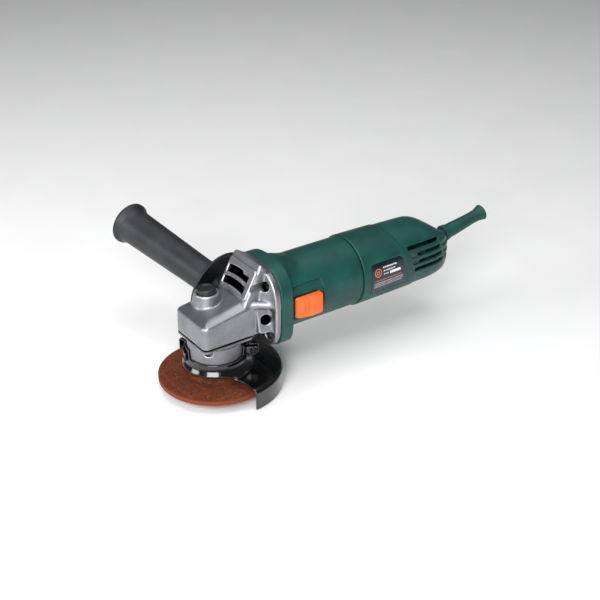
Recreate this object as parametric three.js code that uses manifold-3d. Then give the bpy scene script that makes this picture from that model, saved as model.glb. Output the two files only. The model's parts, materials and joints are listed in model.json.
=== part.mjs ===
// A 100 mm angle grinder: gear head, motor housing, rear cover, side handle, wheel guard and drive train.
// Millimetres, +Z up. The origin is the centre of the spindle's nose face, +Z runs up the spindle towards
// the gear head, and +X runs back along the motor towards the cord entry.
import * as THREE from "three";
import { mergeVertices } from "three/addons/utils/BufferGeometryUtils.js";
import Module from "manifold-3d";

const wasm = await Module();
wasm.setup();

// ---------------------------------------------------------------- driving dimensions

const GAP = 0.3; // between pieces that are bolted or pushed together
const RUNNING_GAP = 0.25; // round a turning or sliding piece
const SLIP = 0.1; // radial room of a piece seated in a bore

const motorAxisZ = 63.1; // height of the armature's axis over the spindle's nose

const wheel = { radius: 50, thickness: 4, bore: 8, hubRadius: 17, hubRise: 4.2, slope: 5.5 };
const nut = { radius: 15, thickness: 4.8, aboveNose: 1.8, pinHole: 1.9, pinCircle: 11 };
const backFlange = { radius: 15, thickness: 5, pilotDepth: 3 };
const spindle = { nose: 5, journal: 6, shoulder: 7.5, top: 4.5, chamfer: 1 };
const spindleBearing = { outer: 16, width: 10 };
const bush = { outer: 6.5, length: 6.2, bottom: 61.6, wall: 2.4 };

const gears = {
  crownTeeth: 30, pinionTeeth: 10, crownPitchRadius: 19.5, face: 5.2, addendum: 0.95, dedendum: 1.3,
};
const crown = { neckRadius: 8.3, rimDepth: 7.6, webBelowPitch: 3.1 };
const lockHoles = { count: 4, radius: 2.5, circle: 10.8 };

const collar = { radius: 23.9, bottom: 19, lip: 3.3, lipBore: 8.4 };
const coverPlate = { thickness: 3.5, upperBore: 17.5, underside: 39.5 };
const head = {
  halfWidth: 24, front: -24, cornerRadius: 8, wall: 2.2, shoulderZ: 63.9, shoulderSlope: 0.15,
  roofZ: 66, roofInset: 5.5, roofSlope: 0.2, rear: 40,
};
const coverScrew = { spread: 17.6, shank: 1.9, head: 3.4, headHeight: 2.6, length: 10, pocket: 4.1 };

const flange = { front: 38.5, rear: 44, half: 36.5, power: 3.1 };
const flare = { start: 25, halfWidth: 32.5, bottom: 44, top: 84 };
const hood = {
  halfWidth: 21.5, footX: 18.2, footZ: 77, browX: 30.5, browZ: 100.5, crestX: 32.6, crestZ: 106, wall: 3,
};
const hoodSlot = { halfWidth: 14.8, height: 5.6, first: 4.2, pitch: 10 };
const housingScrew = { spread: 23.5, shank: 2.1, head: 3.9, headHeight: 3, length: 22, pocket: 4.4 };

const button = { x: -1.2, y: 9, radius: 9, proud: 4.6, skirt: 2.4, floor: 3.3 };
const buttonBoss = { wall: 1.6, footWall: 4, footZ: 70, top: 79.3 };
const lockPin = { radius: 2, tipAbovePitch: 0.4 };
const lockSpring = { radius: 4.4, wire: 0.7, turns: 2.5 };

const handleHole = {
  x: 33.5, y: 28, z: 58, forward: 12, rise: 11, room: 0.2, depth: 10, pad: 5, spotFace: 3.5,
};
const stud = { radius: 4.5, inGrip: 24 };
const shield = { radius: 34.2, thickness: 2.4, standOff: 15, neckWall: 2, hub: 11, neckLength: 10, dish: 3 };
const grip = {
  length: 120, rootRadius: 14.1, endRadius: 16.6, lipRadius: 19.9, lipLength: 4.2, flareLength: 7,
};

const housing = { fanHalf: 37.5, fanEnd: 55, shoulderEnd: 78, gripRadius: 31.7, seam: 135, bore: 27.5 };
const fanChamber = { room: 2, end: 52.5 };
const spigot = { radius: 29.2 };
const bridge = { thickness: 4, hubRadius: 14, hubLength: 11 };
const sliderPocket = { frontRoom: 0.7, rearRoom: 3, bottomRoom: 2, topRoom: 8.5, floor: 29.7 };
const slider = { front: 61.5, rear: 88, bottom: 51, top: 70.5, face: 35.4, travel: 5 };
const sliderSlot = { front: 62, rear: 84, half: 3 };
const rod = { half: 2.4, thickness: 1.5, end: 163 };

const rear = {
  seamRadius: 32.9, tailHalf: 28.8, tail: 250, seamPower: 2, tailPower: 2.7, wall: 2.4,
  slopeLength: 30.2, slopeZ: 91.7, slope: 0.667, cornerLength: 34, cornerDepth: 22,
};
const vents = { count: 4, height: 3.4, length: 36, firstX: 188, firstZ: 78.4, pitch: 6.9, lean: 2.2 };
const plate = { front: 143.5, rear: 180, lean: 7, bottom: 49, top: 77, depth: 0.8 };
const boot = {
  standOff: 2.6, z: 66.6, rise: 10, root: 7.7, waist: 5.9, lip: 7.3, length: 51,
  bore: 4.5, neck: 5.6, anchor: 8,
};

const rearScrew = { x: 140, spread: 8, shank: 1.5, head: 2.8, headHeight: 1.7, length: 6 };

const shaft = { pinionSeat: 3.5, front: 5, core: 5.5, rear: 4, start: 11.2 };
const frontBearing = { outer: 13, width: 8, start: 29 };
const rearBearing = { outer: 11, width: 7 };
const fan = { radius: 31, start: 42.2, depth: 8.6, hub: 10, blades: 11, disc: 1.8 };
const baffle = { bore: 20, thickness: 2 };
const core = { radius: 17.6, start: 68, length: 44, slots: 12, slotDepth: 6 };
const stator = { bore: 18.4, windowRadius: 22.8, windowHalfAngle: 38 };
const winding = { length: 9, radius: 15.5, inner: 8 };
const commutator = { radius: 11.6, length: 12, bars: 16 };
const brush = { width: 8, height: 5, length: 11 };
const holder = { wall: 1.2, length: 12.5 };
const switchBody = { front: 165, rear: 196, half: 9, height: 22 };
const capacitor = { front: 202, length: 22, radius: 6.5, y: 4, z: 48 };
const cordClamp = { fromTail: 24, length: 9, half: 10, height: 5 };

const ROUND = 20; // sides of a turned piece
const WIDE = 30; // sides of a large one

// ---------------------------------------------------------------- shape helpers

const radians = THREE.MathUtils.degToRad;
const Z_AXIS = new THREE.Vector3(0, 0, 1);

// The closed solid that a geometry bounds, turned outwards if its faces point in.
function solid(geometry) {
  const loose = geometry.index ? geometry.toNonIndexed() : geometry;
  const bare = new THREE.BufferGeometry().setAttribute("position", loose.getAttribute("position"));
  const merged = mergeVertices(bare, 1e-4);
  const corners = merged.index.array;
  const faces = [];
  for (let i = 0; i < corners.length; i += 3) {
    const [a, b, c] = [corners[i], corners[i + 1], corners[i + 2]];
    if (a !== b && b !== c && a !== c) faces.push([a, b, c]);
  }
  const make = (list) =>
    new wasm.Manifold(
      new wasm.Mesh({
        numProp: 3,
        vertProperties: merged.attributes.position.array,
        triVerts: new Uint32Array(list.flat()),
      }),
    );
  const made = make(faces);
  return made.volume() < 0 ? make(faces.map(([a, b, c]) => [a, c, b])) : made;
}

const joined = (first, ...others) => others.reduce((all, next) => all.add(next), first);
const cut = (first, ...tools) => tools.reduce((left, tool) => left.subtract(tool), first);

// A solid of revolution about Z. The profile is a list of [radius, height].
function turned(profile, sides = ROUND) {
  const points = profile.map(([radius, height]) => new THREE.Vector2(radius, height));
  return solid(new THREE.LatheGeometry(points, sides).rotateX(Math.PI / 2));
}

const bar = (radius, from, to, sides = ROUND) =>
  turned([[0, from], [radius, from], [radius, to], [0, to]], sides);

const ring = (inner, outer, from, to, sides = ROUND) =>
  turned([[inner, from], [outer, from], [outer, to], [inner, to], [inner, from]], sides);

function block([x0, x1], [y0, y1], [z0, z1]) {
  const box = new THREE.BoxGeometry(x1 - x0, y1 - y0, z1 - z0);
  return solid(box.translate((x0 + x1) / 2, (y0 + y1) / 2, (z0 + z1) / 2));
}

// Points evenly round a circle.
const around = (count, radius) =>
  Array.from({ length: count }, (_, i) => {
    const angle = (2 * Math.PI * i) / count;
    return [radius * Math.cos(angle), radius * Math.sin(angle)];
  });

// A flat outline of [x, y] points with optional holes, drawn along Z.
function slab(outline, from, to, holes = []) {
  const shape = new THREE.Shape(outline.map(([x, y]) => new THREE.Vector2(x, y)));
  for (const hole of holes) shape.holes.push(new THREE.Path(hole.map(([x, y]) => new THREE.Vector2(x, y))));
  const geometry = new THREE.ExtrudeGeometry(shape, { depth: to - from, bevelEnabled: false });
  return solid(geometry.translate(0, 0, from));
}

// A solid drawn through rings of equally many points, closed by a fan at each end.
function loft(rings) {
  const size = rings[0].length;
  const points = rings.flat();
  const faces = [];
  for (let r = 0; r + 1 < rings.length; r++)
    for (let i = 0; i < size; i++) {
      const [a, b] = [r * size + i, r * size + ((i + 1) % size)];
      faces.push(a, b, b + size, a, b + size, a + size);
    }
  for (const [start, turn] of [[0, -1], [(rings.length - 1) * size, 1]]) {
    const middle = new THREE.Vector3();
    for (let i = 0; i < size; i++) middle.addScaledVector(points[start + i], 1 / size);
    const centre = points.push(middle) - 1;
    for (let i = 0; i < size; i++) {
      const edge = [start + i, start + ((i + 1) % size)];
      faces.push(centre, ...(turn > 0 ? edge : edge.reverse()));
    }
  }
  const geometry = new THREE.BufferGeometry().setFromPoints(points);
  geometry.setIndex(faces);
  return solid(geometry);
}

// Moves a solid made along Z to stand at a point and look in a direction.
function aimed(shape, at, direction) {
  const turn = new THREE.Quaternion().setFromUnitVectors(Z_AXIS, new THREE.Vector3(...direction).normalize());
  const matrix = new THREE.Matrix4().compose(new THREE.Vector3(...at), turn, new THREE.Vector3(1, 1, 1));
  return shape.transform(matrix.elements);
}

const shifted = (shape, x, y, z) => aimed(shape, [x, y, z], [0, 0, 1]);
const alongX = (shape, x = 0, y = 0, z = 0) => aimed(shape, [x, y, z], [1, 0, 0]);

// A rounded rectangle from (x0, -half) to (x1, half); each corner is an arc.
function roundedOutline(x0, x1, half, radius, steps = 5) {
  const corners = [[x1 - radius, half - radius, 0], [x0 + radius, half - radius, 90],
    [x0 + radius, radius - half, 180], [x1 - radius, radius - half, 270]];
  return corners.flatMap(([cx, cy, start]) =>
    Array.from({ length: steps + 1 }, (_, i) => {
      const angle = radians(start + (90 * i) / steps);
      return [cx + radius * Math.cos(angle), cy + radius * Math.sin(angle)];
    }),
  );
}

// A superellipse in the YZ plane at x: power 2 is an ellipse, and a higher power is squarer.
function superellipse(x, halfY, halfUp, halfDown, power, points = 28) {
  return Array.from({ length: points }, (_, i) => {
    const angle = (2 * Math.PI * i) / points;
    const [c, s] = [Math.cos(angle), Math.sin(angle)];
    const y = halfY * Math.sign(c) * Math.abs(c) ** (2 / power);
    const z = (s > 0 ? halfUp : halfDown) * Math.sign(s) * Math.abs(s) ** (2 / power);
    return new THREE.Vector3(x, y, motorAxisZ + z);
  });
}

// A plate between two radii and two angles, in degrees, drawn along Z.
function sector(inner, outer, fromAngle, toAngle, from, to, steps = 18) {
  const arc = (radius, a, b) =>
    Array.from({ length: steps + 1 }, (_, i) => {
      const angle = radians(a + ((b - a) * i) / steps);
      return [radius * Math.cos(angle), radius * Math.sin(angle)];
    });
  return slab([...arc(outer, fromAngle, toAngle), ...arc(inner, toAngle, fromAngle)], from, to);
}

// A helical spring along Z.
function spring(radius, wire, turns, from, to) {
  class Helix extends THREE.Curve {
    getPoint(t) {
      const angle = 2 * Math.PI * turns * t;
      return new THREE.Vector3(radius * Math.cos(angle), radius * Math.sin(angle), from + (to - from) * t);
    }
  }
  const section = new THREE.Shape(
    Array.from({ length: 5 }, (_, i) => {
      const angle = (2 * Math.PI * i) / 5;
      return new THREE.Vector2((wire / 2) * Math.cos(angle), (wire / 2) * Math.sin(angle));
    }),
  );
  return solid(new THREE.ExtrudeGeometry(section, { steps: turns * 8, extrudePath: new Helix() }));
}

// ---------------------------------------------------------------- materials

const finish = (color, roughness, metalness) =>
  new THREE.MeshStandardMaterial({ color, roughness, metalness });
const finishes = {
  castAluminium: finish(0xb9b9bc, 0.45, 0.8),
  greenPlastic: finish(0x1c5a50, 0.45, 0),
  blackPlastic: finish(0x26282a, 0.55, 0),
  blackPaint: finish(0x0d0d0f, 0.25, 0.3),
  orangePlastic: finish(0xf26a21, 0.4, 0),
  abrasive: finish(0x7a3a22, 0.95, 0),
  steel: finish(0x9a9ca0, 0.35, 1),
  darkSteel: finish(0x3a3c40, 0.45, 0.9),
  lamination: finish(0x6d6f74, 0.5, 0.9),
  copper: finish(0xb5693a, 0.4, 1),
  carbon: finish(0x2a2a2c, 0.8, 0),
  whitePlastic: finish(0xd8d6cc, 0.5, 0),
  labelFilm: finish(0x10141c, 0.3, 0),
};

// A named node whose mesh is the solid's own surface.
function node(name, shape, material) {
  const { numProp, vertProperties, triVerts } = shape.getMesh();
  const position = new Float32Array((vertProperties.length / numProp) * 3);
  for (let i = 0; i < position.length / 3; i++)
    position.set(vertProperties.subarray(i * numProp, i * numProp + 3), i * 3);
  const geometry = new THREE.BufferGeometry();
  geometry.setAttribute("position", new THREE.BufferAttribute(position, 3));
  geometry.setIndex(new THREE.BufferAttribute(triVerts, 1));
  geometry.computeVertexNormals();
  const mesh = new THREE.Mesh(geometry, material);
  mesh.name = name;
  return mesh;
}

// ---------------------------------------------------------------- places worked out from the dimensions

const nutTop = nut.aboveNose + nut.thickness;
const wheelHubBottom = nutTop + SLIP;
const wheelHubTop = wheelHubBottom + wheel.thickness;
const wheelRimBottom = wheelHubBottom - wheel.hubRise;
const flangeBottom = wheelHubTop + SLIP;
const flangeTop = flangeBottom + backFlange.thickness;
const bearingBottom = collar.bottom + collar.lip + SLIP;
const bearingTop = bearingBottom + spindleBearing.width;
const plateTop = coverPlate.underside + coverPlate.thickness;
const headBottom = plateTop + GAP;

const gearRatio = gears.crownTeeth / gears.pinionTeeth;
const pinionPitchRadius = gears.crownPitchRadius / gearRatio;
const coneDistance = Math.hypot(gears.crownPitchRadius, pinionPitchRadius);
const crownPitchZ = motorAxisZ - pinionPitchRadius;
const crownInnerZ = motorAxisZ - (pinionPitchRadius * (coneDistance - gears.face)) / coneDistance;
const crownWebTop = crownPitchZ - crown.webBelowPitch;
const crownHubBottom = bearingTop + GAP;

const roofAt = (x) => head.roofZ + head.roofSlope * (x - head.front);
const lockAngle = Math.atan2(button.y, button.x);
const pinPlace = [lockHoles.circle * Math.cos(lockAngle), lockHoles.circle * Math.sin(lockAngle), 0];
const buttonFoot = buttonBoss.top - button.skirt;
const bushTop = bush.bottom + bush.length;
const buttonFloor = bushTop + button.floor;
const chamberRadius = fan.radius + fanChamber.room;
const slopeStart = rear.tail - rear.slopeLength;
const bootStart = rear.tail + boot.standOff;
const coreEnd = core.start + core.length;
const commutatorStart = coreEnd + winding.length + 1.5;
const commutatorEnd = commutatorStart + commutator.length;
const bridgeStart = housing.seam + 2.5;
const rearBearingStart = bridgeStart + bridge.thickness;

const handleDirection = (side) => {
  const [forward, rise] = [radians(handleHole.forward), radians(handleHole.rise)];
  return [-Math.sin(forward) * Math.cos(rise), side * Math.cos(forward) * Math.cos(rise), Math.sin(rise)];
};
const handleFoot = (side) => [handleHole.x, side * handleHole.y, handleHole.z];

// ---------------------------------------------------------------- spindle group

// The spindle: threaded nose, shoulder for the back flange, bearing journal, gear seat and top journal.
function spindleShape() {
  const top = bush.bottom + bush.length - GAP;
  return turned([
    [0, 0], [spindle.nose - spindle.chamfer, 0], [spindle.nose, spindle.chamfer],
    [spindle.nose, flangeTop + SLIP], [spindle.shoulder, flangeTop + SLIP],
    [spindle.shoulder, bearingBottom - SLIP], [spindle.journal, bearingBottom - SLIP],
    [spindle.journal, crownWebTop], [spindle.top, crownWebTop],
    [spindle.top, top], [0, top],
  ]);
}

function clampNut() {
  const body = ring(spindle.nose + SLIP, nut.radius, nut.aboveNose, nutTop);
  const hole = bar(nut.pinHole, nut.aboveNose - 1, nutTop + 1, 12);
  return cut(body, shifted(hole, nut.pinCircle, 0, 0), shifted(hole, -nut.pinCircle, 0, 0));
}

// A depressed-centre wheel: its hub stands above the rim, so that the nut stays clear of the work.
function grindingDisc() {
  const rimTop = wheelRimBottom + wheel.thickness;
  return turned([
    [wheel.bore, wheelHubBottom], [wheel.hubRadius, wheelHubBottom],
    [wheel.hubRadius + wheel.slope, wheelRimBottom], [wheel.radius, wheelRimBottom],
    [wheel.radius, rimTop], [wheel.hubRadius + wheel.slope + 1.5, rimTop],
    [wheel.hubRadius + 1.5, wheelHubTop], [wheel.bore, wheelHubTop], [wheel.bore, wheelHubBottom],
  ], 40);
}

function innerFlange() {
  const inner = spindle.nose + SLIP;
  const pilot = wheel.bore - SLIP;
  return turned([
    [inner, flangeBottom - backFlange.pilotDepth], [pilot, flangeBottom - backFlange.pilotDepth],
    [pilot, flangeBottom], [backFlange.radius, flangeBottom],
    [backFlange.radius, flangeTop - 1.5], [backFlange.radius - 3, flangeTop],
    [inner, flangeTop], [inner, flangeBottom - backFlange.pilotDepth],
  ]);
}

// Straight bevel teeth round an axis along +Z, with the cones' common apex at the origin. Each tooth is a
// list of [cone angle, azimuth] corners, drawn from the inner cone distance to the outer one.
function bevelTeeth(teeth, pitchAngle, rootHalf, tipHalf, phase, backRing, frontRing) {
  const step = (2 * Math.PI) / teeth;
  const root = pitchAngle - Math.atan(gears.dedendum / coneDistance);
  const tip = pitchAngle + Math.atan(gears.addendum / coneDistance);
  const corners = [];
  for (let k = 0; k < teeth; k++)
    for (const [angle, offset] of [[root, -rootHalf], [tip, -tipHalf], [tip, tipHalf], [root, rootHalf]])
      corners.push([angle, phase + (k + offset) * step]);
  const onCone = (distance) =>
    corners.map(([angle, azimuth]) => new THREE.Vector3(
      distance * Math.sin(angle) * Math.cos(azimuth),
      distance * Math.sin(angle) * Math.sin(azimuth),
      distance * Math.cos(angle),
    ));
  const flat = ([radius, z]) =>
    corners.map(([, azimuth]) =>
      new THREE.Vector3(radius * Math.cos(azimuth), radius * Math.sin(azimuth), z));
  return loft([flat(frontRing), onCone(coneDistance - gears.face), onCone(coneDistance), flat(backRing)]);
}

// The crown gear: its teeth stand up from a dished wheel, and a gap between two teeth faces the pinion.
function crownGear() {
  const pitchAngle = Math.atan(gearRatio);
  const inner = (gears.crownPitchRadius * (coneDistance - gears.face)) / coneDistance;
  const rimBottom = crownPitchZ - crown.rimDepth;
  const front = motorAxisZ - crownInnerZ + gears.dedendum;
  const wheelBody = bevelTeeth(gears.crownTeeth, pitchAngle, 0.3, 0.1, Math.PI / gears.crownTeeth,
    [gears.crownPitchRadius - 1.2, motorAxisZ - rimBottom], [inner - 1.2, front]);
  const upright = shifted(wheelBody.mirror([0, 0, 1]), 0, 0, motorAxisZ);
  const neck = bar(crown.neckRadius, crownHubBottom, rimBottom + 1);
  const dish = bar(inner - 1.6, crownWebTop, motorAxisZ);
  const bore = bar(spindle.journal + SLIP, crownHubBottom - 1, motorAxisZ);
  const hole = bar(lockHoles.radius, rimBottom - 1, crownWebTop + 1, 12);
  const holes = Array.from({ length: lockHoles.count }, (_, i) => {
    const angle = lockAngle + (2 * Math.PI * i) / lockHoles.count;
    return shifted(hole, lockHoles.circle * Math.cos(angle), lockHoles.circle * Math.sin(angle), 0);
  });
  return cut(joined(upright, neck), dish, bore, ...holes);
}

// ---------------------------------------------------------------- gear head

// The cover under the gear head: a plate with the collar that holds the bearing and carries the guard.
function bearingCover() {
  const outline = roundedOutline(head.front, head.halfWidth + 1, head.halfWidth, head.cornerRadius);
  const plateBody = slab(outline, coverPlate.underside, plateTop);
  const neck = turned([
    [0, collar.bottom], [collar.radius - 1, collar.bottom], [collar.radius, collar.bottom + 1],
    [collar.radius, coverPlate.underside + 0.5], [0, coverPlate.underside + 0.5],
  ], WIDE);
  const passage = turned([
    [0, collar.bottom - 1], [collar.lipBore, collar.bottom - 1], [collar.lipBore, bearingBottom - SLIP],
    [spindleBearing.outer + SLIP, bearingBottom - SLIP], [spindleBearing.outer + SLIP, bearingTop + GAP],
    [coverPlate.upperBore, bearingTop + GAP + 1], [coverPlate.upperBore, plateTop + 1], [0, plateTop + 1],
  ]);
  const pocketFloor = coverPlate.underside - coverScrew.headHeight - 2;
  const pocket = bar(coverScrew.pocket, pocketFloor, coverPlate.underside);
  const hole = bar(coverScrew.shank + 0.3, coverPlate.underside - 1, plateTop + 1, 12);
  const screws = coverScrewPlaces().flatMap(([x, y]) => [shifted(pocket, x, y, 0), shifted(hole, x, y, 0)]);
  return cut(joined(plateBody, neck), passage, ...screws);
}

const coverScrewPlaces = () =>
  [[1, 1], [1, -1], [-1, 1], [-1, -1]].map(([x, y]) => [x * coverScrew.spread, y * coverScrew.spread]);

// A pan-head screw along +Z with its head's underside at the origin and a slot across the head.
function panScrew({ shank, head: headRadius, headHeight, length }) {
  const body = turned([
    [0, length], [shank, length], [shank, 0], [headRadius, 0],
    [headRadius, -headHeight * 0.5], [headRadius * 0.7, -headHeight], [0, -headHeight],
  ], 10);
  const slot = block([-headRadius, headRadius], [-0.45, 0.45], [-headHeight - 1, -headHeight * 0.55]);
  return cut(body, slot);
}

// The head's outline at a height that rises to the rear with the roof.
function headRing(z, inset, slope) {
  const outline = roundedOutline(head.front + inset, head.rear, head.halfWidth - inset,
    Math.max(head.cornerRadius - inset * 0.4, 1));
  return outline.map(([x, y]) => new THREE.Vector3(x, y, z + slope * (x - head.front)));
}

function hoodOutline(inset) {
  return [
    [flange.rear + 1, hood.footZ - 6 + inset], [hood.footX + inset * 1.6, hood.footZ - 6 + inset],
    [hood.footX + inset * 1.1, hood.footZ], [hood.browX + inset, hood.browZ - inset],
    [hood.crestX + inset, hood.crestZ - inset], [hood.crestX + 3, hood.crestZ - inset],
    [flange.rear + 1, motorAxisZ + flange.half - inset],
  ];
}

// A slab drawn along Y from an outline of [x, z] points.
function sideSlab(outline, from, to) {
  const upright = new THREE.Matrix4().makeRotationX(Math.PI / 2);
  return slab(outline, from, to).transform(upright.elements).mirror([0, 1, 0]);
}

const housingScrewPlaces = () =>
  [[1, 1], [1, -1], [-1, 1], [-1, -1]].map(([y, z]) =>
    [y * housingScrew.spread, motorAxisZ + z * housingScrew.spread]);

function gearHousing() {
  const box = loft([
    headRing(headBottom, 0.4, 0), headRing(headBottom + 1.2, 0, 0),
    headRing(head.shoulderZ, 0, head.shoulderSlope),
    headRing(head.roofZ - 0.5, head.roofInset - 1, head.roofSlope),
    headRing(head.roofZ, head.roofInset + 1, head.roofSlope),
  ]);
  const flangeBody = loft([
    superellipse(flange.front, flange.half - 2.2, flange.half - 2.2, flange.half - 2.2, flange.power),
    superellipse(flange.front + 2.6, flange.half, flange.half, flange.half, flange.power),
    superellipse(flange.rear, flange.half, flange.half, flange.half, flange.power),
  ]);
  const middle = (flare.top + flare.bottom) / 2 - motorAxisZ;
  const halfHeight = (flare.top - flare.bottom) / 2;
  const flareRing = (x, half, up, down) =>
    superellipse(x, half, up, down, 4).map((p) => p.setZ(p.z + middle));
  const flareBody = loft([
    flareRing(flare.start, head.halfWidth - 0.4, 13, 18),
    flareRing(flange.front + 1, flare.halfWidth, halfHeight, halfHeight),
  ]);
  const hoodBody = sideSlab(hoodOutline(0), -hood.halfWidth, hood.halfWidth)
    .intersect(block([0, flange.rear], [-50, 50], [0, 200]));
  const boss = shifted(turned([
    [0, head.shoulderZ], [button.radius + buttonBoss.footWall, head.shoulderZ],
    [button.radius + buttonBoss.footWall, buttonBoss.footZ],
    [button.radius + buttonBoss.wall, buttonBoss.top], [0, buttonBoss.top],
  ]), button.x, button.y, 0);
  const padRadius = stud.radius + handleHole.pad;
  const pads = [1, -1].map((side) =>
    aimed(bar(padRadius, -handleHole.depth - 2, 0), handleFoot(side), handleDirection(side)));

  const cavity = loft([
    headRing(headBottom - 1, head.wall, 0), headRing(head.shoulderZ - 1, head.wall, head.shoulderSlope),
    headRing(head.roofZ - head.wall, head.roofInset + head.wall - 1, head.roofSlope),
  ]).intersect(bar(head.halfWidth - head.wall, headBottom - 2, 100, WIDE));
  const bushBoss = bar(bush.outer + bush.wall, bush.bottom, roofAt(0) - 1);
  const bushSeat = bar(bush.outer + SLIP, bush.bottom - 1, bushTop + SLIP);
  const pinHole = shifted(bar(lockPin.radius + RUNNING_GAP, 50, 100, 16), ...pinPlace);
  const buttonWell = shifted(bar(button.radius + RUNNING_GAP, buttonFloor, 100), button.x, button.y, 0);
  const motorBore = (radius, start, end) => alongX(bar(radius, start, end), 0, 0, motorAxisZ);
  const pinionBore = motorBore(9.6, pinionInnerX + 2, frontBearing.start + 1);
  const bearingSeat = motorBore(frontBearing.outer + SLIP, frontBearing.start - SLIP, 60);
  const fanRecess = motorBore(fan.radius + 1, fan.start - 1, 60);
  const duct = sideSlab(hoodOutline(hood.wall), -hood.halfWidth + hood.wall, hood.halfWidth - hood.wall)
    .intersect(block([0, 60], [-50, 50], [motorAxisZ + 17, 200]));
  const screwTools = housingScrewPlaces().flatMap(([y, z]) => [
    alongX(bar(housingScrew.pocket, 20, flange.front + 2), 0, y, z),
    alongX(bar(housingScrew.shank + 0.3, 20, 60, 12), 0, y, z),
  ]);
  const threadHoles = coverScrewPlaces().map(([x, y]) =>
    shifted(bar(coverScrew.shank + SLIP, headBottom - 1, plateTop + coverScrew.length, 12), x, y, 0));
  const handleBore = stud.radius + handleHole.room;
  const handleHoles = [1, -1].map((side) =>
    aimed(bar(handleBore, -handleHole.depth, 30), handleFoot(side), handleDirection(side)));
  const padFaces = [1, -1].map((side) =>
    aimed(bar(stud.radius + handleHole.spotFace, 0, 30), handleFoot(side), handleDirection(side)));

  const outside = joined(box, flareBody, flangeBody, hoodBody, boss, ...pads);
  const hollow = joined(cut(outside, cavity, duct, ...hoodSlots(), fanRecess, ...padFaces), bushBoss);
  return cut(hollow, bushSeat, pinHole, buttonWell, pinionBore, bearingSeat, ...screwTools,
    ...threadHoles, ...handleHoles);
}

// The two exhaust slots, cut square to the hood's leaning face.
function hoodSlots() {
  const lean = Math.atan2(hood.browX - hood.footX, hood.browZ - hood.footZ);
  return [0, 1].map((i) => {
    const low = hoodSlot.first + i * hoodSlot.pitch;
    const tool = block([-3, 8], [-hoodSlot.halfWidth, hoodSlot.halfWidth], [low, low + hoodSlot.height]);
    const matrix = new THREE.Matrix4().makeRotationY(lean).setPosition(hood.footX, 0, hood.footZ);
    return tool.transform(matrix.elements);
  });
}

// ---------------------------------------------------------------- spindle lock

function lockButton() {
  const top = buttonBoss.top + button.proud;
  return shifted(turned([
    [0, buttonFoot], [button.radius, buttonFoot], [button.radius, top - 1.6],
    [button.radius - 1.6, top - 0.2], [button.radius - 3.4, top - 0.6], [0, top - 1],
  ]), button.x, button.y, 0);
}

function lockPinShape() {
  const tip = crownWebTop + lockPin.tipAbovePitch;
  const top = buttonFoot - SLIP;
  return shifted(turned([
    [0, tip], [lockPin.radius - 0.5, tip], [lockPin.radius, tip + 0.7], [lockPin.radius, top], [0, top],
  ], 16), ...pinPlace);
}

// The return spring under the button, round the pin.
function lockSpringShape() {
  const { radius, wire, turns } = lockSpring;
  return shifted(spring(radius, wire, turns, buttonFloor + 0.6, buttonFoot - 0.6), ...pinPlace);
}

// ---------------------------------------------------------------- motor housing and rear cover

function motorHousing() {
  const { fanHalf, fanEnd, shoulderEnd, gripRadius, seam, bore } = housing;
  const outside = loft([
    superellipse(flange.rear + GAP, fanHalf, fanHalf - 0.4, fanHalf - 0.4, flange.power),
    superellipse(fanEnd - 1, fanHalf, fanHalf - 0.4, fanHalf - 0.4, flange.power),
    superellipse(fanEnd, fanHalf - 1, fanHalf - 0.8, fanHalf - 0.8, flange.power),
    superellipse(fanEnd + 2, gripRadius + 1.8, fanHalf - 1.2, fanHalf - 1.4, 2.7),
    superellipse(fanEnd + 5, gripRadius + 0.4, fanHalf - 1.6, fanHalf - 2.6, 2.4),
    superellipse(fanEnd + 10, gripRadius, gripRadius + 2.6, gripRadius + 0.8, 2.1),
    superellipse(shoulderEnd, gripRadius, gripRadius, gripRadius, 2),
    superellipse(seam - GAP, gripRadius, gripRadius, gripRadius, 2),
  ]);
  const tail = alongX(bar(spigot.radius, seam - 2, bridgeStart + bridge.thickness, WIDE), 0, 0, motorAxisZ);
  const hub = alongX(bar(bridge.hubRadius, bridgeStart, bridgeStart + bridge.hubLength), 0, 0, motorAxisZ);
  const passage = alongX(turned([
    [0, 40], [chamberRadius, 40], [chamberRadius, fanChamber.end], [bore, fanEnd + 2],
    [bore, bridgeStart], [0, bridgeStart],
  ], WIDE), 0, 0, motorAxisZ);
  const seat = alongX(bar(rearBearing.outer + SLIP, rearBearingStart - SLIP, 200), 0, 0, motorAxisZ);
  const shaftHole = alongX(bar(shaft.rear + 2, bridgeStart - 1, 200), 0, 0, motorAxisZ);
  const windows = [45, 135, 225, 315].map((angle) =>
    alongX(sector(bridge.hubRadius + 1, bore - 1.5, angle - 33, angle + 33,
      bridgeStart - 1, bridgeStart + 20, 8), 0, 0, motorAxisZ));
  const { frontRoom, rearRoom, bottomRoom, topRoom } = sliderPocket;
  const pocket = block([slider.front - slider.travel - frontRoom, slider.rear + rearRoom],
    [-60, -sliderPocket.floor], [slider.bottom - bottomRoom, slider.top + topRoom]);
  const middle = (slider.top + slider.bottom) / 2;
  const slot = block([sliderSlot.front - slider.travel, sliderSlot.rear], [-40, -20],
    [middle - sliderSlot.half, middle + sliderSlot.half]);
  const channel = block([sliderSlot.front - slider.travel, bridgeStart + 30],
    [-bore - rod.thickness - 0.4, -bore + 1],
    [middle - rod.half - RUNNING_GAP, middle + rod.half + RUNNING_GAP]);
  const screws = housingScrewPlaces().map(([y, z]) =>
    alongX(bar(housingScrew.shank + SLIP, 40, flange.front + 2 + housingScrew.length, 12), 0, y, z));
  const rearThreads = rearScrewPlaces().map(([y, z]) =>
    shifted(bar(rearScrew.shank + SLIP, -10, rearScrew.length + 2, 12), rearScrew.x, y, z));
  return cut(joined(outside, tail, hub), passage, seat, shaftHole, ...windows, pocket, slot, channel,
    ...screws, ...rearThreads);
}

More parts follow.
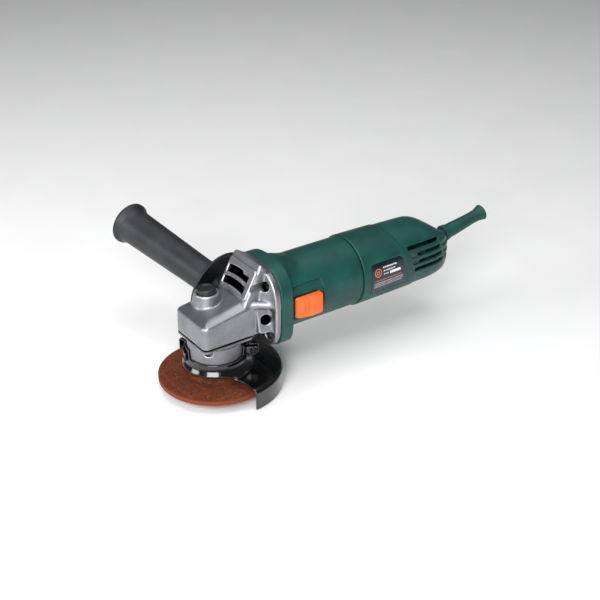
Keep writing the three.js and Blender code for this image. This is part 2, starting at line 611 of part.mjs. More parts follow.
// One cross-section of the rear cover; share runs from 0 at the seam to 1 at the tail. Seen from above, the
// tail's corners are quarter ellipses.
function rearRing(x, inset, scale = 1) {
  const { lerp, clamp } = THREE.MathUtils;
  const share = (x - housing.seam) / (rear.tail - housing.seam);
  const half = (lerp(rear.seamRadius, rear.tailHalf, Math.min(share * 1.15, 1)) - inset) * scale;
  const along = clamp((x + inset - rear.tail + rear.cornerLength) / rear.cornerLength, 0, 1);
  const drawnIn = rear.cornerDepth * (1 - Math.sqrt(1 - along ** 2));
  return superellipse(x, half - drawnIn, half, half, lerp(rear.seamPower, rear.tailPower, share));
}

// Everything above the plane that slopes down to the cord entry, lowered by an inset.
function aboveSlope(inset) {
  const drop = inset * Math.hypot(1, rear.slope);
  const zAt = (x) => rear.slopeZ - rear.slope * (x - slopeStart) - drop;
  const [x0, x1] = [slopeStart - 40, rear.tail + 20];
  return sideSlab([[x0, zAt(x0)], [x1, zAt(x1)], [x1, 160], [x0, 160]], -60, 60);
}

function ventSlots() {
  return Array.from({ length: vents.count }, (_, i) => {
    const x = vents.firstX + i * vents.lean;
    const z = vents.firstZ - i * vents.pitch;
    const heights = [z - vents.height / 2, z + vents.height / 2];
    return [[14, 60], [-60, -14]].map((widths) => block([x, x + vents.length], widths, heights));
  }).flat();
}

function bootDirection() {
  return [Math.cos(radians(boot.rise)), 0, Math.sin(radians(boot.rise))];
}

// The rear cover's tapering body, inset by a depth under its skin.
const rearStations = [24, 56, 84, 94, 102, 108, 112].map((past) => housing.seam + past);

function rearBody(start, inset) {
  return cut(loft([
    ...[start, ...rearStations].map((x) => rearRing(x, inset)),
    rearRing(rear.tail - 1.5 - inset, inset, 0.985), rearRing(rear.tail - inset, inset, 0.93),
  ]), aboveSlope(inset));
}

function rearCover() {
  const outside = rearBody(housing.seam + GAP, 0);
  const inside = rearBody(housing.seam - 1, rear.wall);
  const spigotEnd = bridgeStart + bridge.thickness;
  const mouth = alongX(bar(spigot.radius + 0.4, housing.seam - 2, spigotEnd + 2, WIDE), 0, 0, motorAxisZ);
  const cordHole = aimed(bar(boot.neck + 0.3, -20, 10), [bootStart, 0, boot.z], bootDirection());
  const recess = cut(platePrism(0), rearBody(housing.seam - 1, plate.depth));
  const screwHoles = rearScrewPlaces().flatMap(([y, z]) => [
    shifted(bar(rearScrew.shank + 0.2, -20, 20, 12), rearScrew.x, y, z),
    shifted(bar(rearScrew.head + 0.3, -20, 0, 16), rearScrew.x, y, z),
  ]);
  return cut(outside, inside, mouth, cordHole, recess, ...ventSlots(), ...screwHoles);
}

const rearScrewPlaces = () =>
  [1, -1].map((side) => {
    const z = motorAxisZ - Math.sqrt(rear.seamRadius ** 2 - rearScrew.spread ** 2) + rearScrew.headHeight;
    return [side * rearScrew.spread, z];
  });

// The rating plate's four-sided outline, drawn in from the side of the cover with a margin round it.
function platePrism(margin) {
  const rearFoot = plate.rear + plate.lean;
  return sideSlab([
    [plate.front + margin, plate.bottom + margin], [rearFoot - 1.5 * margin, plate.bottom + margin],
    [plate.rear - margin, plate.top - margin], [plate.front + margin, plate.top - margin],
  ], -60, -10);
}

function ratingPlate() {
  const skin = cut(rearBody(housing.seam + GAP, 0), rearBody(housing.seam - 1, plate.depth - SLIP));
  return skin.intersect(platePrism(GAP));
}

// ---------------------------------------------------------------- switch

function switchSlider() {
  const { front, rear: back, bottom, top, face } = slider;
  const foot = sliderPocket.floor + RUNNING_GAP;
  const ramp = [[front, -foot], [back, -foot], [back, -face + 1.2], [back - 1.6, -face],
    [front + 12, -face], [front + 8, -face - 1.2], [front + 6.4, -face - 1.2], [front + 0.5, -foot - 1.8]];
  const pad = slab(ramp.toReversed(), bottom, top);
  const middle = (top + bottom) / 2;
  const stem = block([sliderSlot.front + 1, sliderSlot.rear - 6], [-foot - 1, -housing.bore + 0.2],
    [middle - sliderSlot.half + RUNNING_GAP, middle + sliderSlot.half - RUNNING_GAP]);
  const grooves = [0, 1, 2].map((i) =>
    block([front + 9.6 + i * 2, front + 10.4 + i * 2], [-face - 3, -face + 0.5], [bottom + 3, top - 3]));
  return cut(joined(pad, stem), ...grooves);
}

// The rod that carries the slider's travel back to the switch.
function switchRod() {
  const middle = (slider.top + slider.bottom) / 2;
  const start = sliderSlot.rear - 6 + GAP;
  const outer = housing.bore + rod.thickness;
  return block([start, rod.end], [-outer + 0.2, -outer + 0.1 + rod.thickness],
    [middle - rod.half, middle + rod.half]);
}

function switchBodyShape() {
  const { front, rear: back, half, height } = switchBody;
  const body = block([front, back], [-half - 9, half - 9],
    [motorAxisZ - height / 2, motorAxisZ + height / 2]);
  const tabs = [-1, 1].map((side) =>
    block([back - 1, back + 5], [-12, -6], [motorAxisZ + side * 6 - 0.6, motorAxisZ + side * 6 + 0.6]));
  return joined(body, ...tabs);
}

const capacitorShape = () =>
  alongX(bar(capacitor.radius, 0, capacitor.length), capacitor.front, capacitor.y, capacitor.z);

// ---------------------------------------------------------------- motor, made along Z and laid along X

function armatureShaft() {
  const rearEnd = rearBearingStart + rearBearing.width;
  return turned([
    [0, shaft.start], [shaft.pinionSeat, shaft.start],
    [shaft.pinionSeat, pinionBack], [shaft.front, pinionBack],
    [shaft.front, fan.start], [shaft.core, fan.start], [shaft.core, commutatorEnd + 1],
    [shaft.rear, commutatorEnd + 1], [shaft.rear, rearEnd], [0, rearEnd],
  ]);
}

const pinionOuterX = gears.crownPitchRadius;
const pinionInnerX = (gears.crownPitchRadius * (coneDistance - gears.face)) / coneDistance;
const pinionBack = pinionOuterX + 6;

function drivePinion() {
  const pitchAngle = Math.atan(1 / gearRatio);
  const teeth = bevelTeeth(gears.pinionTeeth, pitchAngle, 0.3, 0.085, 0,
    [pinionPitchRadius - 1.6, pinionOuterX + 1.2], [3.9, pinionInnerX - 0.2]);
  const blank = bar(pinionPitchRadius - 0.6, pinionOuterX + 0.6, pinionBack - SLIP);
  return cut(joined(teeth, blank), bar(shaft.pinionSeat + SLIP, 0, 60));
}

const pinionNut = () =>
  cut(slab(around(6, 5.4), shaft.start - 0.6, pinionInnerX - 0.5), bar(shaft.pinionSeat + SLIP, 0, 60));

function bearing(inner, { outer, width }, start) {
  const [a, b] = [start, start + width];
  const seal = outer - (outer - inner) * 0.28;
  const lip = inner + (outer - inner) * 0.28;
  return turned([
    [inner, a], [outer, a], [outer, b], [seal, b], [seal, b - 0.5],
    [lip, b - 0.5], [lip, b], [inner, b], [inner, a],
  ]);
}

function coolingFan() {
  const { radius, start, depth, hub, blades, disc } = fan;
  const back = ring(shaft.core + SLIP, radius, start + depth - disc, start + depth);
  const boss = ring(shaft.core + SLIP, hub, start, start + depth);
  const vane = block([hub - 1, radius - 0.5], [-0.7, 0.7], [start, start + depth - disc + 0.2]);
  const vanes = Array.from({ length: blades }, (_, i) =>
    vane.transform(new THREE.Matrix4().makeRotationZ((2 * Math.PI * i) / blades).elements));
  return joined(back, boss, ...vanes);
}

function fanBaffle() {
  const from = fan.start + fan.depth + 1;
  return ring(baffle.bore, chamberRadius - 4, from, from + baffle.thickness);
}

// The point at a radius and a count of equal shares round the circle.
const onShare = (radius, share, shares) => {
  const angle = (2 * Math.PI * share) / shares;
  return [radius * Math.cos(angle), radius * Math.sin(angle)];
};

function armatureCore() {
  const outline = Array.from({ length: core.slots }, (_, i) => {
    const point = (radius, share) => onShare(radius, i + share, core.slots);
    const floor = core.radius - core.slotDepth;
    return [point(core.radius, 0.1), point(core.radius, 0.5), point(core.radius, 0.9),
      point(core.radius - 1, 0.9), point(floor, 0.85), point(floor, 1.15), point(core.radius - 1, 1.1)];
  }).flat();
  return cut(slab(outline, core.start, coreEnd), bar(shaft.core + SLIP, 0, 200));
}

// The end turns of the armature's wire, bulging out of each end of the core.
function armatureWinding(from, to, narrowEnd) {
  const { inner, radius } = winding;
  const wide = narrowEnd ? radius - 3 : radius;
  return turned([
    [inner, from], [wide - 2, from], [wide, from + 2], [radius, (from + to) / 2],
    [radius - (narrowEnd ? 0 : 3), to - 2], [wide - 3, to], [inner, to], [inner, from],
  ]);
}

function commutatorShape() {
  const outline = Array.from({ length: commutator.bars }, (_, i) => {
    const point = (radius, share) => onShare(radius, i + share, commutator.bars);
    const groove = point(commutator.radius - 0.8, 1);
    return [point(commutator.radius, 0.08), point(commutator.radius, 0.92), groove];
  }).flat();
  return cut(slab(outline, commutatorStart, commutatorEnd), bar(shaft.core + SLIP, 0, 200));
}

// Laminated stator with its poles above and below the armature and a window for the coils on each side.
function statorCore() {
  const { bore, windowRadius, windowHalfAngle } = stator;
  const radius = housing.bore - GAP;
  const [from, to] = [core.start - 1, coreEnd + 1];
  const openings = [90, 270].map((centre) =>
    sector(bore - 2, windowRadius, centre - windowHalfAngle, centre + windowHalfAngle, from, to, 12));
  return cut(slab(around(WIDE, radius), core.start, coreEnd), bar(bore, from, to, WIDE), ...openings);
}

// A field coil: two sides through the stator's windows, joined round the pole outside each end of the core.
function fieldCoil(side) {
  const { bore, windowRadius, windowHalfAngle } = stator;
  const [inner, outer] = [bore + 0.9, windowRadius - 0.5];
  const endTurns = 6;
  const centre = side > 0 ? 0 : 180;
  const reach = 90 - 2;
  const spans = [[core.start - endTurns, core.start - GAP], [coreEnd + GAP, coreEnd + endTurns]];
  const ends = spans.map(([from, to]) =>
    sector(inner, outer + 1.6, centre - reach, centre + reach, from, to, 14));
  const sides = [-1, 1].map((hand) => {
    const near = centre + hand * (90 - windowHalfAngle + 2);
    const far = centre + hand * reach;
    return sector(inner, outer, Math.min(near, far), Math.max(near, far), core.start - 1, coreEnd + 1, 6);
  });
  return joined(ends[0], ends[1], ...sides);
}

// Brush gear on the commutator's top (side 1) and bottom (side -1). In the motor's frame, up is -X.
const brushMiddle = commutatorStart + commutator.length / 2;
const brushFoot = commutator.radius + RUNNING_GAP;

function radialBlock(side, from, to, halfY, halfZ) {
  const x = side > 0 ? [-to, -from] : [from, to];
  return block(x, [-halfY, halfY], [brushMiddle - halfZ, brushMiddle + halfZ]);
}

const carbonBrush = (side) =>
  radialBlock(side, brushFoot, brushFoot + brush.length, brush.height / 2, brush.width / 2);

function brushHolder(side) {
  const [from, to] = [brushFoot + 1.2, brushFoot + 1.2 + holder.length];
  const [y, z] = [brush.height / 2 + RUNNING_GAP, brush.width / 2 + RUNNING_GAP];
  const body = radialBlock(side, from, to, y + holder.wall, z + holder.wall);
  return cut(body, radialBlock(side, from - 1, to + 1, y, z));
}

function brushSpring(side) {
  const from = brushFoot + brush.length + SLIP;
  const to = housing.bore - 0.6;
  const coil = spring(1.9, 0.6, 3, from + 0.4, to - 0.4);
  return aimed(coil, [0, 0, brushMiddle], [side > 0 ? -1 : 1, 0, 0]);
}

// ---------------------------------------------------------------- wheel guard

const guard = {
  rimRoom: 6.2, sheet: 1.5, top: 13.5, bottom: -5.2, from: -86, to: 94, clearance: 0.6,
  lowNeck: 26, highNeck: 34, neckFrom: -52, neckTo: 178,
};
const flareFoot = { bend: 22, trim: 17.6, trimFrom: 140, trimTo: 263, reach: 7 };
const clampBand = {
  thickness: 1.6, bottom: 22.5, top: 30, to: 172, angle: -30, lugReach: 11, lugThickness: 2, opening: 3.4,
};
const clampScrew = { shank: 2, head: 3.6, headHeight: 2.4, length: 11, z: 26.2, outFromNeck: 6.8 };
const clampNutSize = { radius: 4, thickness: 3 };
const guardNeck = collar.radius + guard.clearance;
const neckOuter = guardNeck + guard.sheet;
const guardRadius = wheel.radius + guard.rimRoom + guard.sheet;
const clampScrewRadius = neckOuter + clampScrew.outFromNeck;
const lugFace = clampBand.opening / 2 + clampBand.lugThickness + SLIP;

const roundZ = (shape, degrees) =>
  shape.transform(new THREE.Matrix4().makeRotationZ(radians(degrees)).elements);

// A clamp lug standing out from the neck at the clamp's place, on one side of its opening, with a screw hole.
function clampLug(side, inner) {
  const near = (side * clampBand.opening) / 2;
  const far = near + side * clampBand.lugThickness;
  const lug = block([inner, neckOuter + clampBand.lugReach], [Math.min(near, far), Math.max(near, far)],
    [clampBand.bottom, clampBand.top]);
  const place = [clampScrewRadius, 0, clampScrew.z];
  const hole = aimed(bar(clampScrew.shank + 0.2, -20, 20, 12), place, [0, 1, 0]);
  return roundZ(cut(lug, hole), clampBand.angle);
}

// A stamped guard: a neck round the collar, high at the rear and low in front, a flared foot that is
// trimmed short over the open half of the wheel, a half-circle plate with its skirt, and the fixed lug of
// the clamp.
function wheelGuard() {
  const { sheet, top, bottom, from, to, lowNeck, highNeck, neckFrom, neckTo } = guard;
  const { bend, trim, trimFrom, trimTo, reach } = flareFoot;
  const footRadius = neckOuter + reach;
  const outerCurve = [
    [neckOuter + 0.8, bend - 2], [neckOuter + 2.3, bend - 4], [neckOuter + 4.6, bend - 6.4],
  ];
  const innerCurve = [
    [guardNeck + 3.6, bend - 7.6], [guardNeck + 1.2, bend - 4.9], [guardNeck + 0.2, bend - 2.4],
  ];
  const flaredNeck = turned([
    [guardNeck, lowNeck], [neckOuter, lowNeck], [neckOuter, bend], ...outerCurve, [footRadius, top],
    [footRadius, top - sheet], ...innerCurve, [guardNeck, bend], [guardNeck, lowNeck],
  ], WIDE);
  const trimmed = cut(flaredNeck, sector(collar.radius - 5, guardRadius, trimFrom, trimTo, top - 5, trim));
  const strap = sector(guardNeck, neckOuter, neckFrom, neckTo, lowNeck - 0.5, highNeck);
  const halfPlate = sector(footRadius - 1, guardRadius, from, to, top - sheet, top);
  const skirt = sector(guardRadius - sheet, guardRadius, from, to, bottom, top - 0.2);
  return joined(trimmed, strap, halfPlate, skirt, clampLug(-1, guardNeck + 0.4));
}

// The clamp's strap round the rear of the neck, with the moving lug at its end.
function guardBand() {
  const inner = neckOuter + SLIP * 2;
  const outer = inner + clampBand.thickness;
  const start = clampBand.angle + THREE.MathUtils.radToDeg((clampBand.opening / 2 + 0.2) / inner);
  const strap = sector(inner, outer, start, clampBand.to, clampBand.bottom, clampBand.top);
  return joined(strap, clampLug(1, inner + 0.2));
}

function guardScrew() {
  const placed = aimed(panScrew(clampScrew), [clampScrewRadius, -lugFace, clampScrew.z], [0, 1, 0]);
  return roundZ(placed, clampBand.angle);
}

function guardNut() {
  const hexagon = around(6, clampNutSize.radius);
  const blank = slab(hexagon, lugFace, lugFace + clampNutSize.thickness);
  const made = cut(blank, bar(clampScrew.shank + SLIP, 0, 20, 16));
  return roundZ(aimed(made, [clampScrewRadius, 0, clampScrew.z], [0, 1, 0]), clampBand.angle);
}

// ---------------------------------------------------------------- side handle, along Z from the head's pad

const gripStart = shield.standOff + shield.thickness + GAP;

function handleGrip() {
  const end = gripStart + grip.length;
  const lipStart = end - grip.lipLength;
  const flareStart = lipStart - grip.flareLength;
  const boreEnd = gripStart + stud.inGrip + 1;
  return turned([
    [0, boreEnd], [stud.radius + SLIP, boreEnd], [stud.radius + SLIP, gripStart],
    [grip.rootRadius - 1, gripStart],
    [grip.rootRadius, gripStart + 1], [grip.endRadius, flareStart], [grip.endRadius + 0.4, flareStart + 3],
    [grip.lipRadius - 0.8, lipStart], [grip.lipRadius, lipStart + 1], [grip.lipRadius, end - 1],
    [grip.lipRadius - 1, end], [0, end],
  ], WIDE);
}

function handleShield() {
  const { radius, thickness, standOff, neckWall, neckLength, hub, dish } = shield;
  const neck = stud.radius + neckWall;
  const bore = stud.radius + SLIP;
  return turned([
    [bore, 1], [neck, 1], [neck, neckLength], [hub, standOff],
    [radius - 5, standOff], [radius - 0.8, standOff - dish], [radius, standOff - dish + 0.6],
    [radius - 0.6, standOff - dish + thickness], [radius - 5, standOff + thickness],
    [bore, standOff + thickness], [bore, 1],
  ], WIDE);
}

const handleStud = () => bar(stud.radius, -handleHole.depth + 1, gripStart + stud.inGrip);

// ---------------------------------------------------------------- cord entry

// The strain relief: an anchor inside the cover, a neck through its wall, and a tapered sleeve with a lip.
function cordBoot() {
  const { root, waist, lip, length, bore, neck, anchor } = boot;
  const wallBack = -rear.wall - 6.5;
  return turned([
    [bore, wallBack - 3], [anchor, wallBack - 3], [anchor, wallBack], [neck, wallBack], [neck, 0], [root, 0],
    [root, 3.5], [root - 0.9, 5.5], [waist, length - 9], [waist, length - 6], [lip, length - 1.6],
    [lip, length], [bore, length], [bore, wallBack - 3],
  ]);
}

function cordClampShape() {
  const { fromTail, length, half, height } = cordClamp;
  const x = rear.tail - fromTail;
  const z = boot.z - (bootStart - x) * Math.tan(radians(boot.rise)) + boot.bore - 0.5;
  const body = block([x, x + length], [-half, half], [z, z + height]);
  const groove = aimed(bar(boot.bore - 0.5, -60, 60), [bootStart, 0, boot.z - 1], bootDirection());
  const holes = [1, -1].map((side) => shifted(bar(1.6, 0, 120, 12), x + length / 2, side * (half - 3), 0));
  return cut(body, groove, ...holes);
}

// ---------------------------------------------------------------- assembly

const grinder = new THREE.Group();
const spindleGroup = new THREE.Group();
const motorGroup = new THREE.Group();
const handleGroup = new THREE.Group();
grinder.add(spindleGroup, motorGroup, handleGroup);

spindleGroup.add(
  node("spindle", spindleShape(), finishes.steel),
  node("clamp_nut", clampNut(), finishes.darkSteel),
  node("grinding_disc", grindingDisc(), finishes.abrasive),
  node("inner_flange", innerFlange(), finishes.steel),
  node("crown_gear", crownGear(), finishes.darkSteel),
);

grinder.add(
  node("bearing_cover", bearingCover(), finishes.castAluminium),
  node("spindle_bearing", bearing(spindle.journal + SLIP, spindleBearing, bearingBottom), finishes.steel),
  node("spindle_bush", ring(spindle.top + SLIP, bush.outer, bush.bottom, bushTop), finishes.copper),
  node("gear_housing", gearHousing(), finishes.castAluminium),
  node("lock_button", lockButton(), finishes.blackPlastic),
  node("lock_pin", lockPinShape(), finishes.steel),
  node("lock_spring", lockSpringShape(), finishes.steel),
  node("motor_housing", motorHousing(), finishes.greenPlastic),
  node("rear_cover", rearCover(), finishes.greenPlastic),
  node("rating_plate", ratingPlate(), finishes.labelFilm),
  node("switch_slider", switchSlider(), finishes.orangePlastic),
  node("switch_rod", switchRod(), finishes.whitePlastic),
  node("switch_body", switchBodyShape(), finishes.blackPlastic),
  node("capacitor", capacitorShape(), finishes.whitePlastic),
  node("cord_boot", aimed(cordBoot(), [bootStart, 0, boot.z], bootDirection()), finishes.greenPlastic),
  node("cord_clamp", cordClampShape(), finishes.blackPlastic),
  node("wheel_guard", wheelGuard(), finishes.blackPaint),
  node("guard_band", guardBand(), finishes.blackPaint),
  node("guard_screw", guardScrew(), finishes.darkSteel),
  node("guard_nut", guardNut(), finishes.darkSteel),
);

coverScrewPlaces().forEach(([x, y], i) => {
  const screw = node(`cover_screw_${i + 1}`, panScrew(coverScrew), finishes.darkSteel);
  screw.position.set(x, y, coverPlate.underside - SLIP);
  grinder.add(screw);
});

housingScrewPlaces().forEach(([y, z], i) => {
  const screw = node(`housing_screw_${i + 1}`, panScrew(housingScrew), finishes.darkSteel);
  screw.position.set(flange.front + 2 - SLIP, y, z);
  screw.rotation.y = Math.PI / 2;
  grinder.add(screw);
});

rearScrewPlaces().forEach(([y, z], i) => {
  const screw = node(`rear_screw_${i + 1}`, panScrew(rearScrew), finishes.darkSteel);
  screw.position.set(rearScrew.x, y, z - SLIP);
  grinder.add(screw);
});

motorGroup.position.z = motorAxisZ;
motorGroup.rotation.y = Math.PI / 2;
motorGroup.add(
  node("armature_shaft", armatureShaft(), finishes.steel),
  node("drive_pinion", drivePinion(), finishes.darkSteel),
  node("pinion_nut", pinionNut(), finishes.darkSteel),
  node("front_bearing", bearing(shaft.front + SLIP, frontBearing, frontBearing.start), finishes.steel),
  node("cooling_fan", coolingFan(), finishes.whitePlastic),
  node("fan_baffle", fanBaffle(), finishes.blackPlastic),
  node("armature_core", armatureCore(), finishes.lamination),
  node("front_winding", armatureWinding(core.start - winding.length, core.start - GAP, true),
    finishes.copper),
  node("rear_winding", armatureWinding(coreEnd + GAP, coreEnd + winding.length, false), finishes.copper),
  node("commutator", commutatorShape(), finishes.copper),
  node("stator_core", statorCore(), finishes.lamination),
  node("field_coil_upper", fieldCoil(-1), finishes.copper),
  node("field_coil_lower", fieldCoil(1), finishes.copper),
  node("rear_bearing", bearing(shaft.rear + SLIP, rearBearing, rearBearingStart), finishes.steel),
);
for (const [name, side] of [["upper", 1], ["lower", -1]])
  motorGroup.add(
    node(`carbon_brush_${name}`, carbonBrush(side), finishes.carbon),
    node(`brush_holder_${name}`, brushHolder(side), finishes.copper),
    node(`brush_spring_${name}`, brushSpring(side), finishes.steel),
  );

handleGroup.position.set(...handleFoot(1));
handleGroup.quaternion.setFromUnitVectors(Z_AXIS, new THREE.Vector3(...handleDirection(1)));
handleGroup.add(
  node("handle_grip", handleGrip(), finishes.blackPlastic),
  node("handle_shield", handleShield(), finishes.blackPlastic),
  node("handle_stud", handleStud(), finishes.steel),
);

export default grinder;
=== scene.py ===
import json
import math

import bpy
import numpy as np
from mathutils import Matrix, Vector


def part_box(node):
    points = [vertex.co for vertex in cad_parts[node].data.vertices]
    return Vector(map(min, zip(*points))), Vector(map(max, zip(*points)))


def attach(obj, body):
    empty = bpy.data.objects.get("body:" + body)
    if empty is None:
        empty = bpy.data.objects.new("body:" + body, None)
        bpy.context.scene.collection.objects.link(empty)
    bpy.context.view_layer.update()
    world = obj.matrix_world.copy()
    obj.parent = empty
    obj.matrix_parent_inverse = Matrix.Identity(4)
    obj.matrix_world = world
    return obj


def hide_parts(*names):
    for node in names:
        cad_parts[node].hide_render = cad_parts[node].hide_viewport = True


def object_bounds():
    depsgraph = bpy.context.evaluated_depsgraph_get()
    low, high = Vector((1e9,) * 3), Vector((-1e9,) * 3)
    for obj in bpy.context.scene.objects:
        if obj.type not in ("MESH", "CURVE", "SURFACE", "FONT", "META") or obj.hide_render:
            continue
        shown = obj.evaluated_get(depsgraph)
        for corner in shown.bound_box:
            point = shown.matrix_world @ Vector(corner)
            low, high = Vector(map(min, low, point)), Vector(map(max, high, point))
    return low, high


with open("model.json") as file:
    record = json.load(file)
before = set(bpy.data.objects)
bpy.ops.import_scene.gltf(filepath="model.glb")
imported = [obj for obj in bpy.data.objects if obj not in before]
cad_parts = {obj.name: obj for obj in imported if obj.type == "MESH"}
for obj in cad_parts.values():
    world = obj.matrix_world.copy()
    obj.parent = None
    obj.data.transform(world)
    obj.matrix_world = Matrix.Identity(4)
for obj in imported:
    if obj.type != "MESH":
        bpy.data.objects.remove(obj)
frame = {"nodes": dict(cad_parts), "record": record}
cad_box = [list(corner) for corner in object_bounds()]

MM = 0.001


def node_box(name):
    """Lowest and highest corners of a CAD node, in millimetres."""
    return [np.array(corner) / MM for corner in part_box(name)]


# ---------------------------------------------------------------- sizes in millimetres, mostly from the frame

head_low, head_high = node_box("gear_housing")
cover_low, cover_high = node_box("bearing_cover")
motor_low, motor_high = node_box("motor_housing")
tail_low, tail_high = node_box("rear_cover")
shaft_low, shaft_high = node_box("armature_shaft")
slider_low, slider_high = node_box("switch_slider")
button_low, button_high = node_box("lock_button")
pin_low, pin_high = node_box("lock_pin")
disc_low, disc_high = node_box("grinding_disc")
nut_low, nut_high = node_box("clamp_nut")
guard_low, guard_high = node_box("wheel_guard")
band_low, band_high = node_box("guard_band")
label_low, label_high = node_box("rating_plate")
boot_low, boot_high = node_box("cord_boot")

joint_named = {joint["name"]: joint for joint in frame["record"]["behaviour"]["joints"]}
switch_travel = joint_named["switch_slide"]["range_m"][1] / MM
track_room = 0.7
track_rear = 91.8

motor_axis = (shaft_low[2] + shaft_high[2]) / 2
head_front = head_low[0]
head_half = cover_high[1]
lip_rise = 1.2
head_bottom = cover_high[2] + 0.3 + lip_rise
flange_front = 38.5
flange_rear = head_high[0]
flange_half = head_high[1]
flange_power_top = 3.0
flange_power_foot = 3.4
roof_z = 66.2
roof_slope = 0.2
shoulder_z = 63.9
shoulder_slope = 0.15
shoulder_inset = 6.5
hood_foot = np.array([17.6, 77.0])
hood_brow = np.array([30.2, 100.0])
crest_x = 33.0
crest_z = head_high[2]
hood_half = 20.1
button_x, button_y = (button_low[:2] + button_high[:2]) / 2
button_radius = (button_high[0] - button_low[0]) / 2 - 0.7
boss_radius = 10.6
boss_top = 79.3
lock_pin_place = pin_low[:2] / 2 + pin_high[:2] / 2
screw_spread = 23.5
handle_foot = np.array([33.5, 28.0, 58.0])
handle_forward = math.radians(12)
handle_rise = math.radians(11)
grip_radius = 31.7
seam_x = 135.0
tail_x = tail_high[0]
tail_seam_radius = 32.9
tail_half = 28.8

# ---------------------------------------------------------------- surfaces from numpy


def smooth_max(a, b, reach):
    """The larger of two fields, blended by a parabola where they differ by less than the reach."""
    overlap = np.maximum(reach - np.abs(a - b), 0)
    return np.maximum(a, b) + overlap * overlap / (4 * reach)


def smooth_min(a, b, reach):
    """The smaller of two fields, blended in the same way, which fillets an inside corner."""
    return -smooth_max(-a, -b, reach)


def rectangle(u, v, half_u, half_v, radius):
    """Distance to a rounded rectangle: past its inner corner points by length, inside by the nearer side."""
    du = np.abs(u) - (half_u - radius)
    dv = np.abs(v) - (half_v - radius)
    return np.hypot(np.maximum(du, 0), np.maximum(dv, 0)) + np.minimum(np.maximum(du, dv), 0) - radius


def cylinder(across_a, across_b, along, radius, low, high, edge=0.8):
    """Distance to a cylinder: the radial and the end distances, with a rounded edge between them."""
    radial = np.hypot(across_a, across_b) - radius
    ends = np.abs(along - (low + high) / 2) - (high - low) / 2
    return smooth_max(radial, ends, edge)


def cell_corners():
    return np.array([[i, j, k] for i in (0, 1) for j in (0, 1) for k in (0, 1)])


def implicit_skin(field, low, high, cell):
    """The zero surface of a field over a box: one vertex in each cell that the surface crosses, at the mean of its
    edge crossings, then four steps down the field's slope; one quad round each grid edge that it crosses."""
    low = np.asarray(low, float)
    counts = np.ceil((np.asarray(high, float) - low) / cell).astype(int) + 1
    axes = [low[i] + cell * np.arange(counts[i]) for i in range(3)]
    grid = np.empty(tuple(counts), np.float32)
    for start in range(0, counts[0], 24):
        part = np.meshgrid(axes[0][start:start + 24], axes[1], axes[2], indexing="ij")
        grid[start:start + 24] = field(*part)
    inside = grid < 0
    inside[0] = inside[-1] = False
    inside[:, 0] = inside[:, -1] = False
    inside[:, :, 0] = inside[:, :, -1] = False
    count = np.zeros(tuple(counts - 1), np.int8)
    for i, j, k in cell_corners():
        count += inside[i:counts[0] - 1 + i, j:counts[1] - 1 + j, k:counts[2] - 1 + k]
    cells = np.argwhere((count > 0) & (count < 8))
    total = np.zeros(cells.shape)
    crossings = np.zeros(len(cells))
    for corner in cell_corners():
        for axis in np.flatnonzero(corner == 0):
            step = np.eye(3, dtype=int)[axis]
            a, b = (cells + corner).T, (cells + corner + step).T
            fa, fb = grid[tuple(a)].astype(float), grid[tuple(b)].astype(float)
            crossed = inside[tuple(a)] != inside[tuple(b)]
            share = np.where(crossed, np.clip(fa / np.where(fa == fb, 1, fa - fb), 0, 1), 0)
            total += crossed[:, None] * (corner + share[:, None] * step)
            crossings += crossed
    points = low + cell * (cells + total / crossings[:, None])
    for _ in range(4):
        points = points - descend(field, points, cell)
    index = np.full(tuple(counts - 1), -1)
    index[tuple(cells.T)] = np.arange(len(cells))
    quads = []
    for axis in range(3):
        first, second = np.eye(3, dtype=int)[(axis + 1) % 3], np.eye(3, dtype=int)[(axis + 2) % 3]
        near = np.moveaxis(inside, axis, 0)[:-1]
        far = np.moveaxis(inside, axis, 0)[1:]
        edges = np.argwhere(np.moveaxis(near != far, 0, axis))
        outward = inside[tuple(edges.T)]
        ring = [index[tuple((edges - shift).T)] for shift in (0 * first, first, first + second, second)]
        quad = np.stack(ring, axis=1)
        quad[~outward] = quad[~outward][:, ::-1]
        quads.append(quad)
    return points, np.concatenate(quads)


def descend(field, points, cell):
    """The step from each point to the zero surface along the slope, which central differences give."""
    nudge = cell * 0.15
    slope = np.empty_like(points)
    for axis in range(3):
        shift = nudge * np.eye(3)[axis]
        slope[:, axis] = (field(*(points + shift).T) - field(*(points - shift).T)) / (2 * nudge)
    steep = np.maximum((slope ** 2).sum(1), 0.05)
    step = (field(*points.T) / steep)[:, None] * slope
    length = np.linalg.norm(step, axis=1, keepdims=True)
    return step * np.minimum(1, 0.4 * cell / np.maximum(length, 1e-9))


def sheet_grid(rows, columns, wrap_rows=False, wrap_columns=False):
    """Quads of a grid of points stored row by row, with either direction closed on itself."""
    last_row = rows if wrap_rows else rows - 1
    last_column = columns if wrap_columns else columns - 1
    i, j = np.meshgrid(np.arange(last_row), np.arange(last_column), indexing="ij")
    i, j = i.ravel(), j.ravel()
    down, right = (i + 1) % rows, (j + 1) % columns
    return np.stack([i * columns + j, down * columns + j, down * columns + right, i * columns + right], 1)


